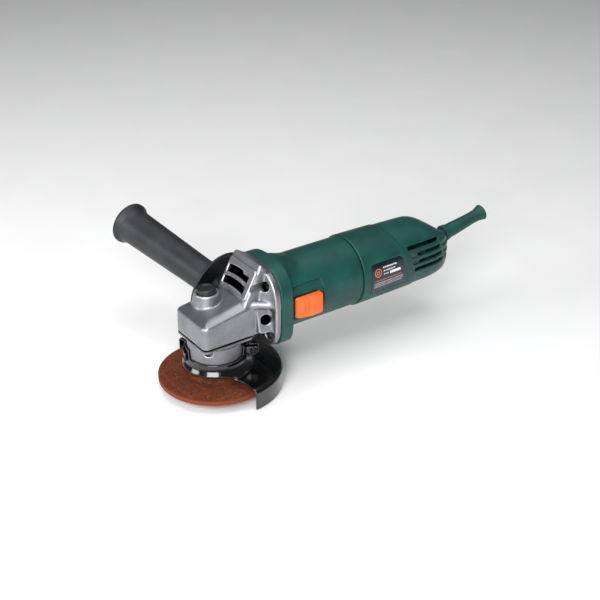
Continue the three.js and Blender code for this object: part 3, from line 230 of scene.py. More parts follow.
def filleted(corners, steps=6):
    """A profile through [radius, height, fillet] corners: each fillet is an arc tangent to both its sides."""
    corners = np.asarray(corners, float)
    out = [corners[0, :2]]
    for before, here, after in zip(corners, corners[1:], corners[2:]):
        point, fillet = here[:2], here[2]
        toward, away = before[:2] - point, after[:2] - point
        reach_in, reach_out = np.linalg.norm(toward), np.linalg.norm(away)
        toward, away = toward / reach_in, away / reach_out
        half = math.acos(float(np.clip(toward @ away, -1, 1))) / 2
        if fillet <= 0 or half > 1.55:
            out.append(point)
            continue
        cut = min(fillet / math.tan(half), 0.49 * reach_in, 0.49 * reach_out)
        radius = cut * math.tan(half)
        centre = point + (toward + away) / np.linalg.norm(toward + away) * radius / math.sin(half)
        start, end = point + toward * cut - centre, point + away * cut - centre
        share = np.linspace(0, 1, steps + 1)[:, None]
        arc = start * (1 - share) + end * share
        out.extend(centre + arc / np.linalg.norm(arc, axis=1, keepdims=True) * radius)
    out.append(corners[-1, :2])
    return np.array(out)


def subdivided(profile, longest):
    """The profile with every stretch longer than the given length split evenly."""
    parts = []
    for a, b in zip(profile, profile[1:]):
        count = max(1, math.ceil(np.linalg.norm(b - a) / longest))
        parts.append(a + (b - a) * np.linspace(0, 1, count, endpoint=False)[:, None])
    return np.concatenate(parts + [profile[-1:]])


def turned(corners, sides, closed=False, steps=6, longest=6.0):
    """A lathe surface: the profile's radius times (cos, sin) of each angle, and its height along Z."""
    profile = subdivided(filleted(corners, steps), longest)
    if closed:
        profile = profile[:-1]
    angle = np.linspace(0, 2 * np.pi, sides, endpoint=False)
    points = np.empty((len(profile), sides, 3))
    points[..., 0] = profile[:, :1] * np.cos(angle)
    points[..., 1] = profile[:, :1] * np.sin(angle)
    points[..., 2] = profile[:, 1:]
    return points.reshape(-1, 3), sheet_grid(len(profile), sides, closed, True)


def placed(points, origin, axis):
    """Points made along +Z, turned to look along the axis and moved to the origin given."""
    turn = Vector((0, 0, 1)).rotation_difference(Vector(axis)).to_matrix()
    return points @ np.array(turn).T + np.asarray(origin, float)


def piece(name, points, faces, material, body, stands_for=(), weld=True):
    """A mesh object from points in millimetres, welded, faced outwards, hung under its body's empty, with the CAD nodes
    it stands for hidden.
    """
    mesh = bpy.data.meshes.new(name)
    mesh.from_pydata((points * MM).tolist(), [], faces.tolist())
    if weld:
        import bmesh
        work = bmesh.new()
        work.from_mesh(mesh)
        bmesh.ops.remove_doubles(work, verts=work.verts, dist=2e-6)
        bmesh.ops.dissolve_degenerate(work, edges=work.edges, dist=1e-7)
        bmesh.ops.recalc_face_normals(work, faces=work.faces)
        work.to_mesh(mesh)
        work.free()
    mesh.shade_smooth()
    obj = bpy.data.objects.new(name, mesh)
    bpy.context.scene.collection.objects.link(obj)
    obj.data.materials.append(material)
    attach(obj, body)
    if stands_for:
        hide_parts(*stands_for)
    return obj


def crisp(obj, degrees=32):
    """Marks the edges that bend by more than an angle as sharp, so that flats and corners shade apart."""
    obj.data.set_sharp_from_angle(angle=math.radians(degrees))
    return obj


# ---------------------------------------------------------------- materials


def linear(code, alpha=1.0):
    """The linear colour of an sRGB hex value."""
    channels = [int(code[i:i + 2], 16) / 255 for i in (1, 3, 5)]
    return [c / 12.92 if c <= 0.04045 else ((c + 0.055) / 1.055) ** 2.4 for c in channels] + [alpha]


def add(tree, kind, settings=None, values=None, links=None):
    """Adds a node with its own settings, input values and links from other nodes' outputs."""
    made = tree.nodes.new(kind)
    for key, value in (settings or {}).items():
        setattr(made, key, value)
    for key, value in (values or {}).items():
        made.inputs[key].default_value = value
    for key, output in (links or {}).items():
        tree.links.new(output, made.inputs[key])
    return made


def blank(name, **values):
    """A material with a Principled shader that holds the given constant values, and its object coordinates."""
    material = bpy.data.materials.new(name)
    material.use_nodes = True
    tree = material.node_tree
    tree.nodes.clear()
    shader = add(tree, "ShaderNodeBsdfPrincipled", values=values)
    add(tree, "ShaderNodeOutputMaterial", links={"Surface": shader.outputs["BSDF"]})
    place = add(tree, "ShaderNodeTexCoord").outputs["Object"]
    return material, tree, shader, place


def noise(tree, place, millimetres, detail=2.0, roughness=0.5):
    """Noise whose features are about the given size."""
    made = add(tree, "ShaderNodeTexNoise", values={
        "Scale": 1 / (millimetres * MM), "Detail": detail, "Roughness": roughness}, links={"Vector": place})
    return made.outputs["Fac"]


def ramp(tree, source, stops):
    """A colour ramp with [position, hex] stops."""
    made = add(tree, "ShaderNodeValToRGB", links={"Fac": source})
    points = made.color_ramp.elements
    while len(points) < len(stops):
        points.new(0.5)
    for point, (position, code) in zip(points, stops):
        point.position = position
        point.color = linear(code)
    return made.outputs["Color"]


def levels(tree, source, low, high, from_low=0.3, from_high=0.7):
    """Maps a value's range to another range, clamped."""
    return add(tree, "ShaderNodeMapRange", values={
        "From Min": from_low, "From Max": from_high, "To Min": low, "To Max": high},
        links={"Value": source}).outputs["Result"]


def mixed(tree, share, a, b):
    """Two colours mixed by a share."""
    made = add(tree, "ShaderNodeMix", settings={"data_type": "RGBA"}, links={0: share})
    for socket, value in ((6, a), (7, b)):
        if isinstance(value, str):
            made.inputs[socket].default_value = linear(value)
        else:
            tree.links.new(value, made.inputs[socket])
    return made.outputs[2]


def bump(tree, shader, height, millimetres, strength=1.0, under=None):
    """A bump of the given depth on the shader's normal, on top of another bump's normal if there is one."""
    links = {"Height": height}
    if under is not None:
        links["Normal"] = under
    made = add(tree, "ShaderNodeBump", values={"Strength": strength, "Distance": millimetres * MM}, links=links)
    tree.links.new(made.outputs["Normal"], shader.inputs["Normal"])
    return made.outputs["Normal"]


def moulded_plastic(name, base, shade, light, roughness, texture_mm, depth_mm, specular=0.5):
    """Injection-moulded plastic: an even colour with a slight flow mottle, a spark-eroded mould texture, and a
    gloss that varies a little where hands rub it."""
    material, tree, shader, place = blank(name, **{"IOR": 1.5, "Specular IOR Level": specular})
    mottle = noise(tree, place, 22, 3)
    tree.links.new(ramp(tree, mottle, [(0.3, shade), (0.5, base), (0.72, light)]), shader.inputs["Base Color"])
    rubbed = noise(tree, place, 9, 4, 0.6)
    tree.links.new(levels(tree, rubbed, roughness - 0.05, roughness + 0.07), shader.inputs["Roughness"])
    grain = noise(tree, place, texture_mm, 2, 0.6)
    bump(tree, shader, grain, depth_mm)
    return material


def die_cast_aluminium():
    """High-pressure die casting, bead-blasted: pale grey, matt, with a fine sandy skin, faint flow stains, edges
    lighter both as handling wear and as a painted highlight, and hollows painted near black as painted shade."""
    material, tree, shader, place = blank("die_cast_aluminium", **{"Metallic": 1.0})
    stain = noise(tree, place, 14, 4, 0.6)
    body = ramp(tree, stain, [(0.3, "#85868B"), (0.55, "#939499"), (0.8, "#9D9EA3")])
    edge = add(tree, "ShaderNodeAttribute", settings={"attribute_name": "edge"}).outputs["Fac"]
    # painted highlight and wear: the edge value lightens convex edges toward #D2D2D6, partly as handling wear and
    # partly as a painted highlight on the ridges
    worn_and_highlit = levels(tree, edge, 0.0, 1.0, 0.15, 0.8)
    inside = add(tree, "ShaderNodeAttribute", settings={"attribute_name": "inside"}).outputs["Fac"]
    skin = mixed(tree, worn_and_highlit, body, "#D2D2D6")
    # painted shade: the colour is mixed toward near-black #050506 by the inside value, so hollows, slots and bores are
    # painted dark where shade falls
    tree.links.new(mixed(tree, inside, skin, "#050506"), shader.inputs["Base Color"])
    speck = noise(tree, place, 0.9, 3, 0.65)
    tree.links.new(levels(tree, speck, 0.36, 0.52), shader.inputs["Roughness"])
    coarse = bump(tree, shader, noise(tree, place, 5, 3, 0.55), 0.12, 0.6)
    bump(tree, shader, noise(tree, place, 0.55, 2, 0.6), 0.05, 0.9, coarse)
    return material


def machined_steel(name, base, dark, roughness, along=(1, 1, 1)):
    """Turned or ground steel: a cool grey metal with fine tool marks across its axis and soft stains."""
    material, tree, shader, place = blank(name, **{"Metallic": 1.0})
    stretched = add(tree, "ShaderNodeMapping", values={"Scale": along}, links={"Vector": place}).outputs["Vector"]
    marks = noise(tree, stretched, 0.35, 3, 0.6)
    tree.links.new(ramp(tree, noise(tree, place, 6, 3), [(0.3, dark), (0.7, base)]), shader.inputs["Base Color"])
    tree.links.new(levels(tree, marks, roughness - 0.08, roughness + 0.1), shader.inputs["Roughness"])
    bump(tree, shader, marks, 0.02, 0.7)
    return material


def powder_coat():
    """Glossy black powder coat on pressed steel: deep black with the slight orange peel of the cured film."""
    material, tree, shader, place = blank("black_powder_coat", **{
        "IOR": 1.5, "Coat Weight": 0.6, "Coat Roughness": 0.08})
    dust = noise(tree, place, 7, 4, 0.6)
    tree.links.new(ramp(tree, dust, [(0.35, "#050506"), (0.7, "#0B0B0D")]), shader.inputs["Base Color"])
    tree.links.new(levels(tree, dust, 0.12, 0.2), shader.inputs["Roughness"])
    bump(tree, shader, noise(tree, place, 2.2, 2), 0.05, 0.6)
    return material


def bonded_abrasive():
    """Aluminium-oxide grit in brown phenolic resin, pressed over glass mesh: rough red-brown grains with pale
    and dark specks, the mesh's square weave showing through, and a lighter orange band at the rim as a painted
    highlight."""
    material, tree, shader, place = blank("bonded_abrasive", **{"IOR": 1.55, "Specular IOR Level": 0.25})
    grit = add(tree, "ShaderNodeTexVoronoi", values={"Scale": 1 / (0.75 * MM)}, links={"Vector": place})
    grain = ramp(tree, grit.outputs["Color"], [(0.15, "#45200F"), (0.45, "#582812"), (0.7, "#672F17"), (0.95, "#8E5030")])
    weave = []
    for axis in ("X", "Y"):
        wave = add(tree, "ShaderNodeTexWave", settings={"bands_direction": axis}, values={
            "Scale": 1 / (2.6 * MM) / 20, "Distortion": 0.6, "Detail": 1.0}, links={"Vector": place})
        weave.append(levels(tree, wave.outputs["Fac"], 0.0, 1.0, 0.75, 1.0))
    mesh = add(tree, "ShaderNodeMath", settings={"operation": "MAXIMUM"}, links={0: weave[0], 1: weave[1]}).outputs[0]
    faint = add(tree, "ShaderNodeMath", settings={"operation": "MULTIPLY"}, values={1: 0.22}, links={0: mesh}).outputs[0]
    woven = mixed(tree, faint, grain, "#86411F")
    blotch = noise(tree, place, 12, 3)
    shade = levels(tree, blotch, 0.0, 0.25)
    # painted highlight: the outer 1.2 mm of the wheel is mixed toward lighter orange #7E371D as a lit rim
    rim_highlight = add(tree, "ShaderNodeAttribute", settings={"attribute_name": "rim_highlight"}).outputs["Fac"]
    body = mixed(tree, shade, woven, "#42190C")
    tree.links.new(mixed(tree, rim_highlight, body, "#7E371D"), shader.inputs["Base Color"])
    shader.inputs["Roughness"].default_value = 0.82
    under = bump(tree, shader, grit.outputs["Distance"], 0.35, 0.8)
    bump(tree, shader, mesh, 0.15, 0.5, under)
    return material


def wound_copper():
    """Enamelled copper wire laid in turns: a warm brown-red lacquer with a fine ridge for each wire."""
    material, tree, shader, place = blank("enamelled_copper_wire", **{"Metallic": 1.0})
    wires = add(tree, "ShaderNodeTexWave", settings={"bands_direction": "DIAGONAL"}, values={
        "Scale": 1 / (0.9 * MM) / 20, "Distortion": 1.2}, links={"Vector": place}).outputs["Fac"]
    tree.links.new(ramp(tree, wires, [(0.2, "#5E2A16"), (0.8, "#C0703F")]), shader.inputs["Base Color"])
    shader.inputs["Roughness"].default_value = 0.35
    bump(tree, shader, wires, 0.2, 0.8)
    return material


def steel_laminations():
    """A stack of punched electrical steel: dark grey with a thin line between one sheet and the next."""
    material, tree, shader, place = blank("steel_laminations", **{"Metallic": 1.0})
    sheets = add(tree, "ShaderNodeTexWave", settings={"bands_direction": "X"}, values={
        "Scale": 1 / (0.5 * MM) / 20}, links={"Vector": place}).outputs["Fac"]
    tree.links.new(ramp(tree, sheets, [(0.1, "#2C2D30"), (0.5, "#7B7D82")]), shader.inputs["Base Color"])
    shader.inputs["Roughness"].default_value = 0.45
    bump(tree, shader, sheets, 0.1, 0.6)
    return material


def printed_film():
    """A printed polyester label: near-black blue film with crisp inks, and a smooth low gloss."""
    material, tree, shader, place = blank("printed_polyester_film", **{"IOR": 1.55, "Coat Weight": 0.3})
    ink = add(tree, "ShaderNodeAttribute", settings={"attribute_name": "ink"}).outputs["Color"]
    tree.links.new(ink, shader.inputs["Base Color"])
    tree.links.new(levels(tree, noise(tree, place, 4, 3), 0.28, 0.4), shader.inputs["Roughness"])
    bump(tree, shader, noise(tree, place, 3, 2), 0.03, 0.4)
    return material


def carbon_block():
    """Pressed carbon and graphite: dull black with a faint grey sheen and fine pores."""
    material, tree, shader, place = blank("pressed_carbon", **{"IOR": 1.6})
    pores = noise(tree, place, 0.4, 3, 0.7)
    tree.links.new(ramp(tree, pores, [(0.35, "#141416"), (0.75, "#303034")]), shader.inputs["Base Color"])
    shader.inputs["Roughness"].default_value = 0.6
    bump(tree, shader, pores, 0.08)
    return material


cast = die_cast_aluminium()
green_abs = moulded_plastic("green_moulded_abs", "#164641", "#133D39", "#1A4F49", 0.4, 0.6, 0.03, 0.35)
green_rubber = moulded_plastic("green_moulded_pvc", "#15423C", "#123935", "#194A43", 0.5, 0.8, 0.04, 0.35)
grip_nylon = moulded_plastic("black_glass_filled_nylon", "#26272A", "#1E1F22", "#303135", 0.48, 1.1, 0.1, 0.4)
black_abs = moulded_plastic("black_moulded_abs", "#17181A", "#111214", "#1E1F22", 0.4, 0.7, 0.04)
orange_abs = moulded_plastic("orange_moulded_abs", "#E8641F", "#DC5518", "#EE7430", 0.36, 0.6, 0.03)
white_nylon = moulded_plastic("white_moulded_nylon", "#D6D3C8", "#CBC8BC", "#DEDBD1", 0.45, 0.8, 0.04)
powder = powder_coat()
abrasive = bonded_abrasive()
bright_steel = machined_steel("turned_steel", "#B4B6BA", "#96989C", 0.28)
dark_steel = machined_steel("blackened_steel", "#4A4C50", "#2E3033", 0.42)
copper_wire = wound_copper()
laminations = steel_laminations()
film = printed_film()
carbon = carbon_block()

finish_of_slot = {
    "cast_aluminium": cast, "green_plastic": green_abs, "green_rubber": green_rubber, "black_plastic": black_abs,
    "handle_plastic": grip_nylon, "orange_plastic": orange_abs, "white_plastic": white_nylon,
    "black_paint": powder, "abrasive": abrasive, "steel": bright_steel, "dark_steel": dark_steel,
    "lamination": laminations, "copper": copper_wire, "carbon": carbon, "label_film": film,
}
for part in frame["record"]["subparts"]:
    shown = frame["nodes"][part["node"]].data
    shown.materials.clear()
    shown.materials.append(finish_of_slot[part["material_slot"]])


# ---------------------------------------------------------------- gear head


def flange_edge(y, z):
    """Signed distance inside the flange's outline, a superellipse rounder above the motor's axis than below."""
    rise = z - motor_axis
    power = np.where(rise > 0, flange_power_top, flange_power_foot)
    section = (np.abs(y / flange_half) ** power + np.abs(rise / flange_half) ** power) ** (1 / power)
    return (section - 1) * flange_half


def flange_plate(x, y, z):
    """A rounded square plate: the flange's outline between two planes."""
    across = flange_edge(y, z)
    middle = (flange_front + flange_rear) / 2
    return smooth_max(across, np.abs(x - middle) - (flange_rear - flange_front) / 2, 1.6)


def hood_lean():
    along = (hood_brow - hood_foot) / np.linalg.norm(hood_brow - hood_foot)
    return along, np.array([-along[1], along[0]])


def hood_shape(x, y, z):
    """The vent hood: planes for its leaning face, its falling back and its drafted sides, with a raised frame
    of rounded outline on the face."""
    along, out = hood_lean()
    u = (x - hood_foot[0]) * along[0] + (z - hood_foot[1]) * along[1]
    depth = (x - hood_foot[0]) * out[0] + (z - hood_foot[1]) * out[1]
    back_fall = np.array([crest_z - 99.4, flange_rear - crest_x])
    back_fall /= np.linalg.norm(back_fall)
    back = (x - crest_x) * back_fall[0] + (z - crest_z) * back_fall[1]
    side = np.abs(y) - (hood_half + 1.4 - 0.03 * u)
    core = smooth_max(smooth_max(depth + 1.3, back, 1.6), side, 2.6)
    core = smooth_max(core, flange_front - 24 - x, 1)
    core = np.maximum(core, 60 - z)
    face_half = np.linalg.norm(hood_brow - hood_foot) / 2
    panel = smooth_max(rectangle(y, u - face_half, hood_half - 0.4, face_half + 0.6, 3.2), np.abs(depth + 3) - 3, 1.0)
    return smooth_min(core, panel, 0.7)


def hood_slots(x, y, z):
    """Two arched slots through the hood's face: rounded rectangles whose middle line bows up by a parabola."""
    along, out = hood_lean()
    u = (x - hood_foot[0]) * along[0] + (z - hood_foot[1]) * along[1]
    depth = (x - hood_foot[0]) * out[0] + (z - hood_foot[1]) * out[1]
    bow = 1.3 * (1 - ((y - 1) / 15) ** 2)
    lower = rectangle(y - 1.8, u - 6.6 - bow, 15.4, 3.4, 1.3)
    slots = np.minimum(lower, rectangle(y - 1.8, u - 16.6 - bow, 15.2, 3.5, 1.3))
    return np.maximum(slots, np.abs(depth + 5) - 10)


def handle_axis(side):
    flat = math.cos(handle_rise)
    return np.array([-math.sin(handle_forward) * flat, side * math.cos(handle_forward) * flat, math.sin(handle_rise)])


def along_handle(x, y, z):
    """Distance along, and away from, the handle hole's axis on the side that a point is on."""
    out = handle_axis(1)
    dx, dy, dz = x - handle_foot[0], np.abs(y) - handle_foot[1], z - handle_foot[2]
    along = dx * out[0] + dy * out[1] + dz * out[2]
    away = np.sqrt(np.maximum(dx * dx + dy * dy + dz * dz - along * along, 0))
    return along, away


def lock_pin_hole(x, y, z):
    """What is left outside a plain upright hole for the lock pin."""
    return np.maximum(2.3 - np.hypot(x - lock_pin_place[0], y - lock_pin_place[1]), -50.0)


def head_outside(x, y, z):
    """The casting's outer skin: a box with drafted shoulders, a flange with a web that falls forward from it, a
    vent hood, a button boss and a flat cheek at each side for the handle, blended with fillets."""
    lift = roof_slope * (x - head_front)
    shoulder_lift = shoulder_slope * (x - head_front)
    plan = rectangle(x - (head_front + 46) / 2, y, (46 - head_front) / 2, head_half, 5)
    plan = plan + 0.012 * (z - head_bottom)
    roof = (z - roof_z - lift) * 0.98
    rise = roof_z + lift - shoulder_z - shoulder_lift
    slant = np.hypot(rise, shoulder_inset)
    shoulder = (plan * rise + (z - shoulder_z - shoulder_lift) * shoulder_inset) / slant
    box = smooth_max(smooth_max(plan, roof, 2.0), shoulder, 1.6)
    box = smooth_max(box, head_bottom - z, 0.8)
    box = np.maximum(box, x - flange_rear)

    away = np.hypot(x - button_x, y - button_y)
    boss = smooth_max((away - boss_radius - 0.24 * (boss_top - z)) * 0.97, z - boss_top, 0.8)
    boss = np.maximum(boss, 60 - z)
    solid = smooth_min(box, boss, 1.8)

    plate = flange_plate(x, y, z)
    side_y = np.abs(y)
    along, off = along_handle(x, y, z)
    cheek = smooth_max(rectangle(x - 37, z - 59.5, 10.5, 13.0, 2.5), along, 1.4)
    cheek = np.maximum(cheek, 12 - side_y)
    gusset_share = np.clip((x - 20) / 18, 0, 1)
    gusset = np.hypot(side_y - 17.5 - 12.5 * gusset_share, z - 72.0 + 1.0 * gusset_share) - 3.4
    gusset = smooth_max(gusset, np.abs(x - 31) - 12, 2)
    web = flange_edge(y, z) + 1.35 * np.maximum(flange_front - x, 0) + 3.2
    web = smooth_max(web * 0.6, 70.5 - z, 2.0)
    web = np.maximum(web, 22 - x)
    solid = smooth_min(solid, cheek, 1.6)
    solid = smooth_min(solid, gusset, 2.4)
    solid = smooth_min(solid, web, 2.0)
    solid = smooth_min(solid, hood_shape(x, y, z), 1.6)
    solid = smooth_min(solid, plate, 3.4)
    return np.maximum(solid, x - flange_rear)


def gear_head(x, y, z):
    """The casting: its outer skin less its cavity, duct, slots, bores, handle holes and screw pockets."""
    solid = head_outside(x, y, z)
    side_y = np.abs(y)
    lift = roof_slope * (x - head_front)
    plan = rectangle(x - (head_front + 46) / 2, y, (46 - head_front) / 2, head_half, 5)
    roof = z - roof_z - lift
    away = np.hypot(x - button_x, y - button_y)
    along, off = along_handle(x, y, z)
    solid = smooth_max(solid, -np.maximum(off - 4.7, -10 - along), 0.7)
    for height in (motor_axis - screw_spread, motor_axis + screw_spread):
        pocket = np.maximum(np.hypot(side_y - screw_spread, z - height) - 4.3, x - flange_front - 2)
        pocket = np.maximum(pocket, 24 - x)
        solid = smooth_max(solid, -pocket, 0.7)

    cavity = smooth_max(smooth_max(plan + 2.6, roof + 3.0, 1), np.hypot(x, y) - 21.6, 1)
    cavity = smooth_max(cavity, plan + z - 58 - 0.5 * lift, 1)
    column = np.maximum(np.hypot(x, y) - 8.9, 61.6 - z)
    cavity = np.maximum(cavity, -column)
    solid = np.maximum(solid, -cavity)
    solid = np.maximum(solid, -np.maximum(np.hypot(x, y) - 6.6, z - 67.9))
    solid = np.maximum(solid, lock_pin_hole(x, y, z))
    radial = np.hypot(y, z - motor_axis)
    bore = np.where(x > 41.2, radial - 32, np.where(x > 28.9, radial - 13.1, np.maximum(radial - 9.6, 16.5 - x)))
    solid = np.maximum(solid, -bore)
    duct = np.maximum(hood_shape(x, y, z) + 3.2, motor_axis + 17 - z)
    solid = np.maximum(solid, -np.maximum(duct, 20 - x))
    solid = smooth_max(solid, -hood_slots(x, y, z), 0.7)
    well = np.maximum(away - button_radius - 0.25, 71.1 - z)
    return smooth_max(solid, -well, 0.6)


def shade_inside(obj, outside):
    """Stores how deep each point lies under the outer skin, as a 0 to 1 value named inside, which the cast material
    uses to paint the hollows near black as painted shade.
    """
    co = np.empty(len(obj.data.vertices) * 3)
    obj.data.vertices.foreach_get("co", co)
    x, y, z = co.reshape(-1, 3).T / MM
    depth = np.clip((-outside(x, y, z) - 1.2) / 1.6, 0, 1)
    obj.data.attributes.new("inside", "FLOAT", "POINT").data.foreach_set("value", depth)


def edge_wear_and_highlight(obj, reach):
    """Stores how far each point stands out from the mean of its neighbours, as a 0 to 1 value named edge, which the
    cast material turns into lighter edges: handling wear and a painted highlight.
    """
    mesh = obj.data
    count = len(mesh.vertices)
    co = np.empty(count * 3)
    mesh.vertices.foreach_get("co", co)
    co = co.reshape(-1, 3) / MM
    normal = np.empty(count * 3)
    mesh.vertices.foreach_get("normal", normal)
    normal = normal.reshape(-1, 3)
    ends = np.empty(len(mesh.edges) * 2, np.int32)
    mesh.edges.foreach_get("vertices", ends)
    a, b = ends.reshape(-1, 2).T
    share = np.bincount(a, minlength=count) + np.bincount(b, minlength=count)
    value = np.zeros(count)
    for axis in range(3):
        near = np.bincount(a, co[b, axis], count) + np.bincount(b, co[a, axis], count)
        value += (co[:, axis] - near / np.maximum(share, 1)) * normal[:, axis]
    value = np.clip(value / reach, 0, 1)
    for _ in range(2):
        near = np.bincount(a, value[b], count) + np.bincount(b, value[a], count)
        value = 0.5 * value + 0.5 * near / np.maximum(share, 1)
    mesh.attributes.new("edge", "FLOAT", "POINT").data.foreach_set("value", value)
    return obj


head_points, head_faces = implicit_skin(gear_head, head_low - 1.5, head_high + 1.5, 0.62)
head_casting = piece("Gear_Head_Casting", head_points, head_faces, cast, "tool",
                     ["gear_housing"], weld=False)
edge_wear_and_highlight(head_casting, 0.09)
# painted shade: the inside value paints the head's hollows near black
shade_inside(head_casting, head_outside)


def cover_outside(x, y, z):
    """The bearing cover's outer skin, with no hollows."""
    collar = np.maximum(np.hypot(x, y) - 23.9, z - cover_high[2])
    return np.minimum(collar, cover_high[2] + lip_rise - 3.5 - z)


def cover_casting(x, y, z):
    """The bearing cover: a plate with the head's outline, a round collar under it, shallow screw pockets under
    the corners and the bearing's bore."""
    plan = rectangle(x - (head_front + 25) / 2, y, (25 - head_front) / 2, head_half, 5)
    plate = smooth_max(plan, np.abs(z - (cover_high[2] + lip_rise - 1.75)) - 1.75, 0.9)
    radius = np.hypot(x, y)
    collar = smooth_max(radius - 23.9, cover_low[2] - z, 1.4)
    collar = np.maximum(collar, z - cover_high[2])
    solid = smooth_min(plate, collar, 1.6)
    underside = cover_high[2] + lip_rise - 3.5
    pocket = np.hypot(np.abs(x) - 17.6, np.abs(y) - 17.6) - 4.4
    pocket = np.maximum(smooth_max(pocket, underside - 7.6 - z, 5.0), z - underside)
    solid = smooth_max(solid, -pocket, 0.3)
    seat = np.where(z > 22.4, radius - 16.1, radius - 8.4)
    return np.maximum(solid, -seat)


cover_points, cover_faces = implicit_skin(cover_casting, cover_low - 1.5, cover_high + 1.5, 0.5)
bearing_casting = piece("Bearing_Cover_Casting", cover_points, cover_faces, cast, "tool",
                        ["bearing_cover"], weld=False)
edge_wear_and_highlight(bearing_casting, 0.07)
# painted shade: the inside value paints the cover's pockets and bore near black
shade_inside(bearing_casting, cover_outside)

button_points, button_faces = turned([
    [0, button_low[2] + 0.2, 0], [5.2, button_low[2] + 0.2, 0.1], [5.4, button_low[2], 0.1],
    [button_radius, button_low[2], 0.3], [button_radius, button_high[2] - 0.6, 1.3],
    [button_radius - 2.0, button_high[2], 0.5], [button_radius - 2.6, button_high[2] - 0.5, 0.5],
    [4.0, button_high[2] - 1.0, 3], [0, button_high[2] - 1.05, 0]], 96, longest=1.5)
piece("Lock_Button_Cap", button_points + [button_x, button_y, 0], button_faces, black_abs, "spindle_lock",
      ["lock_button"])

# ---------------------------------------------------------------- motor shell


def motor_shell(x, y, z):
    """The moulded motor housing: a rounded square fan chamber with a crisp rear step, a shoulder that falls to
    the round grip, a recessed track round the slide switch, and the bore and fan chamber inside."""
    rise = z - motor_axis
    power = np.where(rise > 0, flange_power_top, flange_power_foot)
    half = motor_high[1] - 0.1
    chamber = ((np.abs(y / half) ** power + np.abs(rise / half) ** power) ** (1 / power) - 1) * half
    step_x = 56.2 + 2.4 * np.clip(np.abs(rise) / half, 0, 1) ** 4
    chamber = smooth_max(smooth_max(chamber, x - step_x, 1.6), motor_low[0] - x, 0.7)
    fall = np.clip((x - 58.5) / 20, 0, 1)
    fall = fall * fall * (3 - 2 * fall)
    top = grip_radius + 4.5 * (1 - fall)
    foot_fall = np.clip((x - 58) / 9, 0, 1)
    foot = grip_radius + 4.3 * (1 - foot_fall) ** 2
    tall = np.where(rise > 0, top, foot)
    grip = (np.sqrt((y / grip_radius) ** 2 + (rise / tall) ** 2) - 1) * grip_radius
    grip = smooth_max(grip, x - (seam_x - 0.3), 0.9)
    grip = np.maximum(grip, 50 - x)
    solid = smooth_min(chamber, grip, 1.2)
    spigot = cylinder(y, rise, x, 29.2, seam_x - 4, motor_high[0], 0.6)
    solid = np.minimum(solid, spigot)

    track_front = slider_low[0] - switch_travel - track_room
    track = rectangle(x - (track_front + track_rear) / 2, z - 64.6, (track_rear - track_front) / 2, 15.4, 2.0)
    depth = np.hypot(y, rise) - (grip_radius - 2.0)
    solid = smooth_max(solid, -np.maximum(np.maximum(track, -depth), y + 10), 0.7)
    slot = rectangle(x - 72.4, z - 60.8, 14.6, 9.6, 1.5)
    solid = smooth_max(solid, -np.maximum(np.maximum(slot, y + 20), -(np.hypot(y, rise) - 27.2)), 0.6)
    bore = np.where(x < 52.5, np.hypot(y, rise) - 33, np.hypot(y, rise) - 27.5)
    return np.maximum(solid, -bore)


shell_points, shell_faces = implicit_skin(motor_shell, motor_low - 1.5, motor_high + 1.5, 0.78)
piece("Motor_Housing_Casing", shell_points, shell_faces, green_abs, "tool", ["motor_housing"], weld=False)


# ---------------------------------------------------------------- rear cover, rating plate and strain relief


def tail_section(x, y, z, inset):
    """Signed size of the rear cover's cross-section: a superellipse whose half width shrinks and whose power
    grows from the seam to the tail, with the vent panel set in behind a slanting line."""
    share = np.clip((x - seam_x) / (tail_x - seam_x), 0, 1)
    half = tail_seam_radius + (tail_half - tail_seam_radius) * np.minimum(share * 1.15, 1)
    power = 2 + 0.7 * share
    rise = z - motor_axis
    line = 175 + 0.5 * np.clip(94 - z, 0, 44)
    step = np.clip((x - line) / 1.6, 0, 1)
    set_in = 0.7 * step * step * (3 - 2 * step)
    half = half - inset - set_in
    along = np.clip((x - tail_x + 36) / 36, 0, 0.995)
    half_y = half - 23.5 * (1 - np.sqrt(1 - along ** 2))
    section = (np.abs(y / half_y) ** power + np.abs(rise / half) ** power) ** (1 / power)
    return (section - 1) * half_y


def label_outline(x, z, margin):
    """The rating plate's outline: a rounded four-sided shape whose rear edge leans back towards its foot."""
    low, high = 49.5, 77.5
    lean = 7 * (high - z) / (high - low)
    front, rear = 143.0, 181 + lean
    return rectangle(x - (front + rear) / 2, z - (low + high) / 2, (rear - front) / 2 - margin,
                     (high - low) / 2 - margin, 2.6)


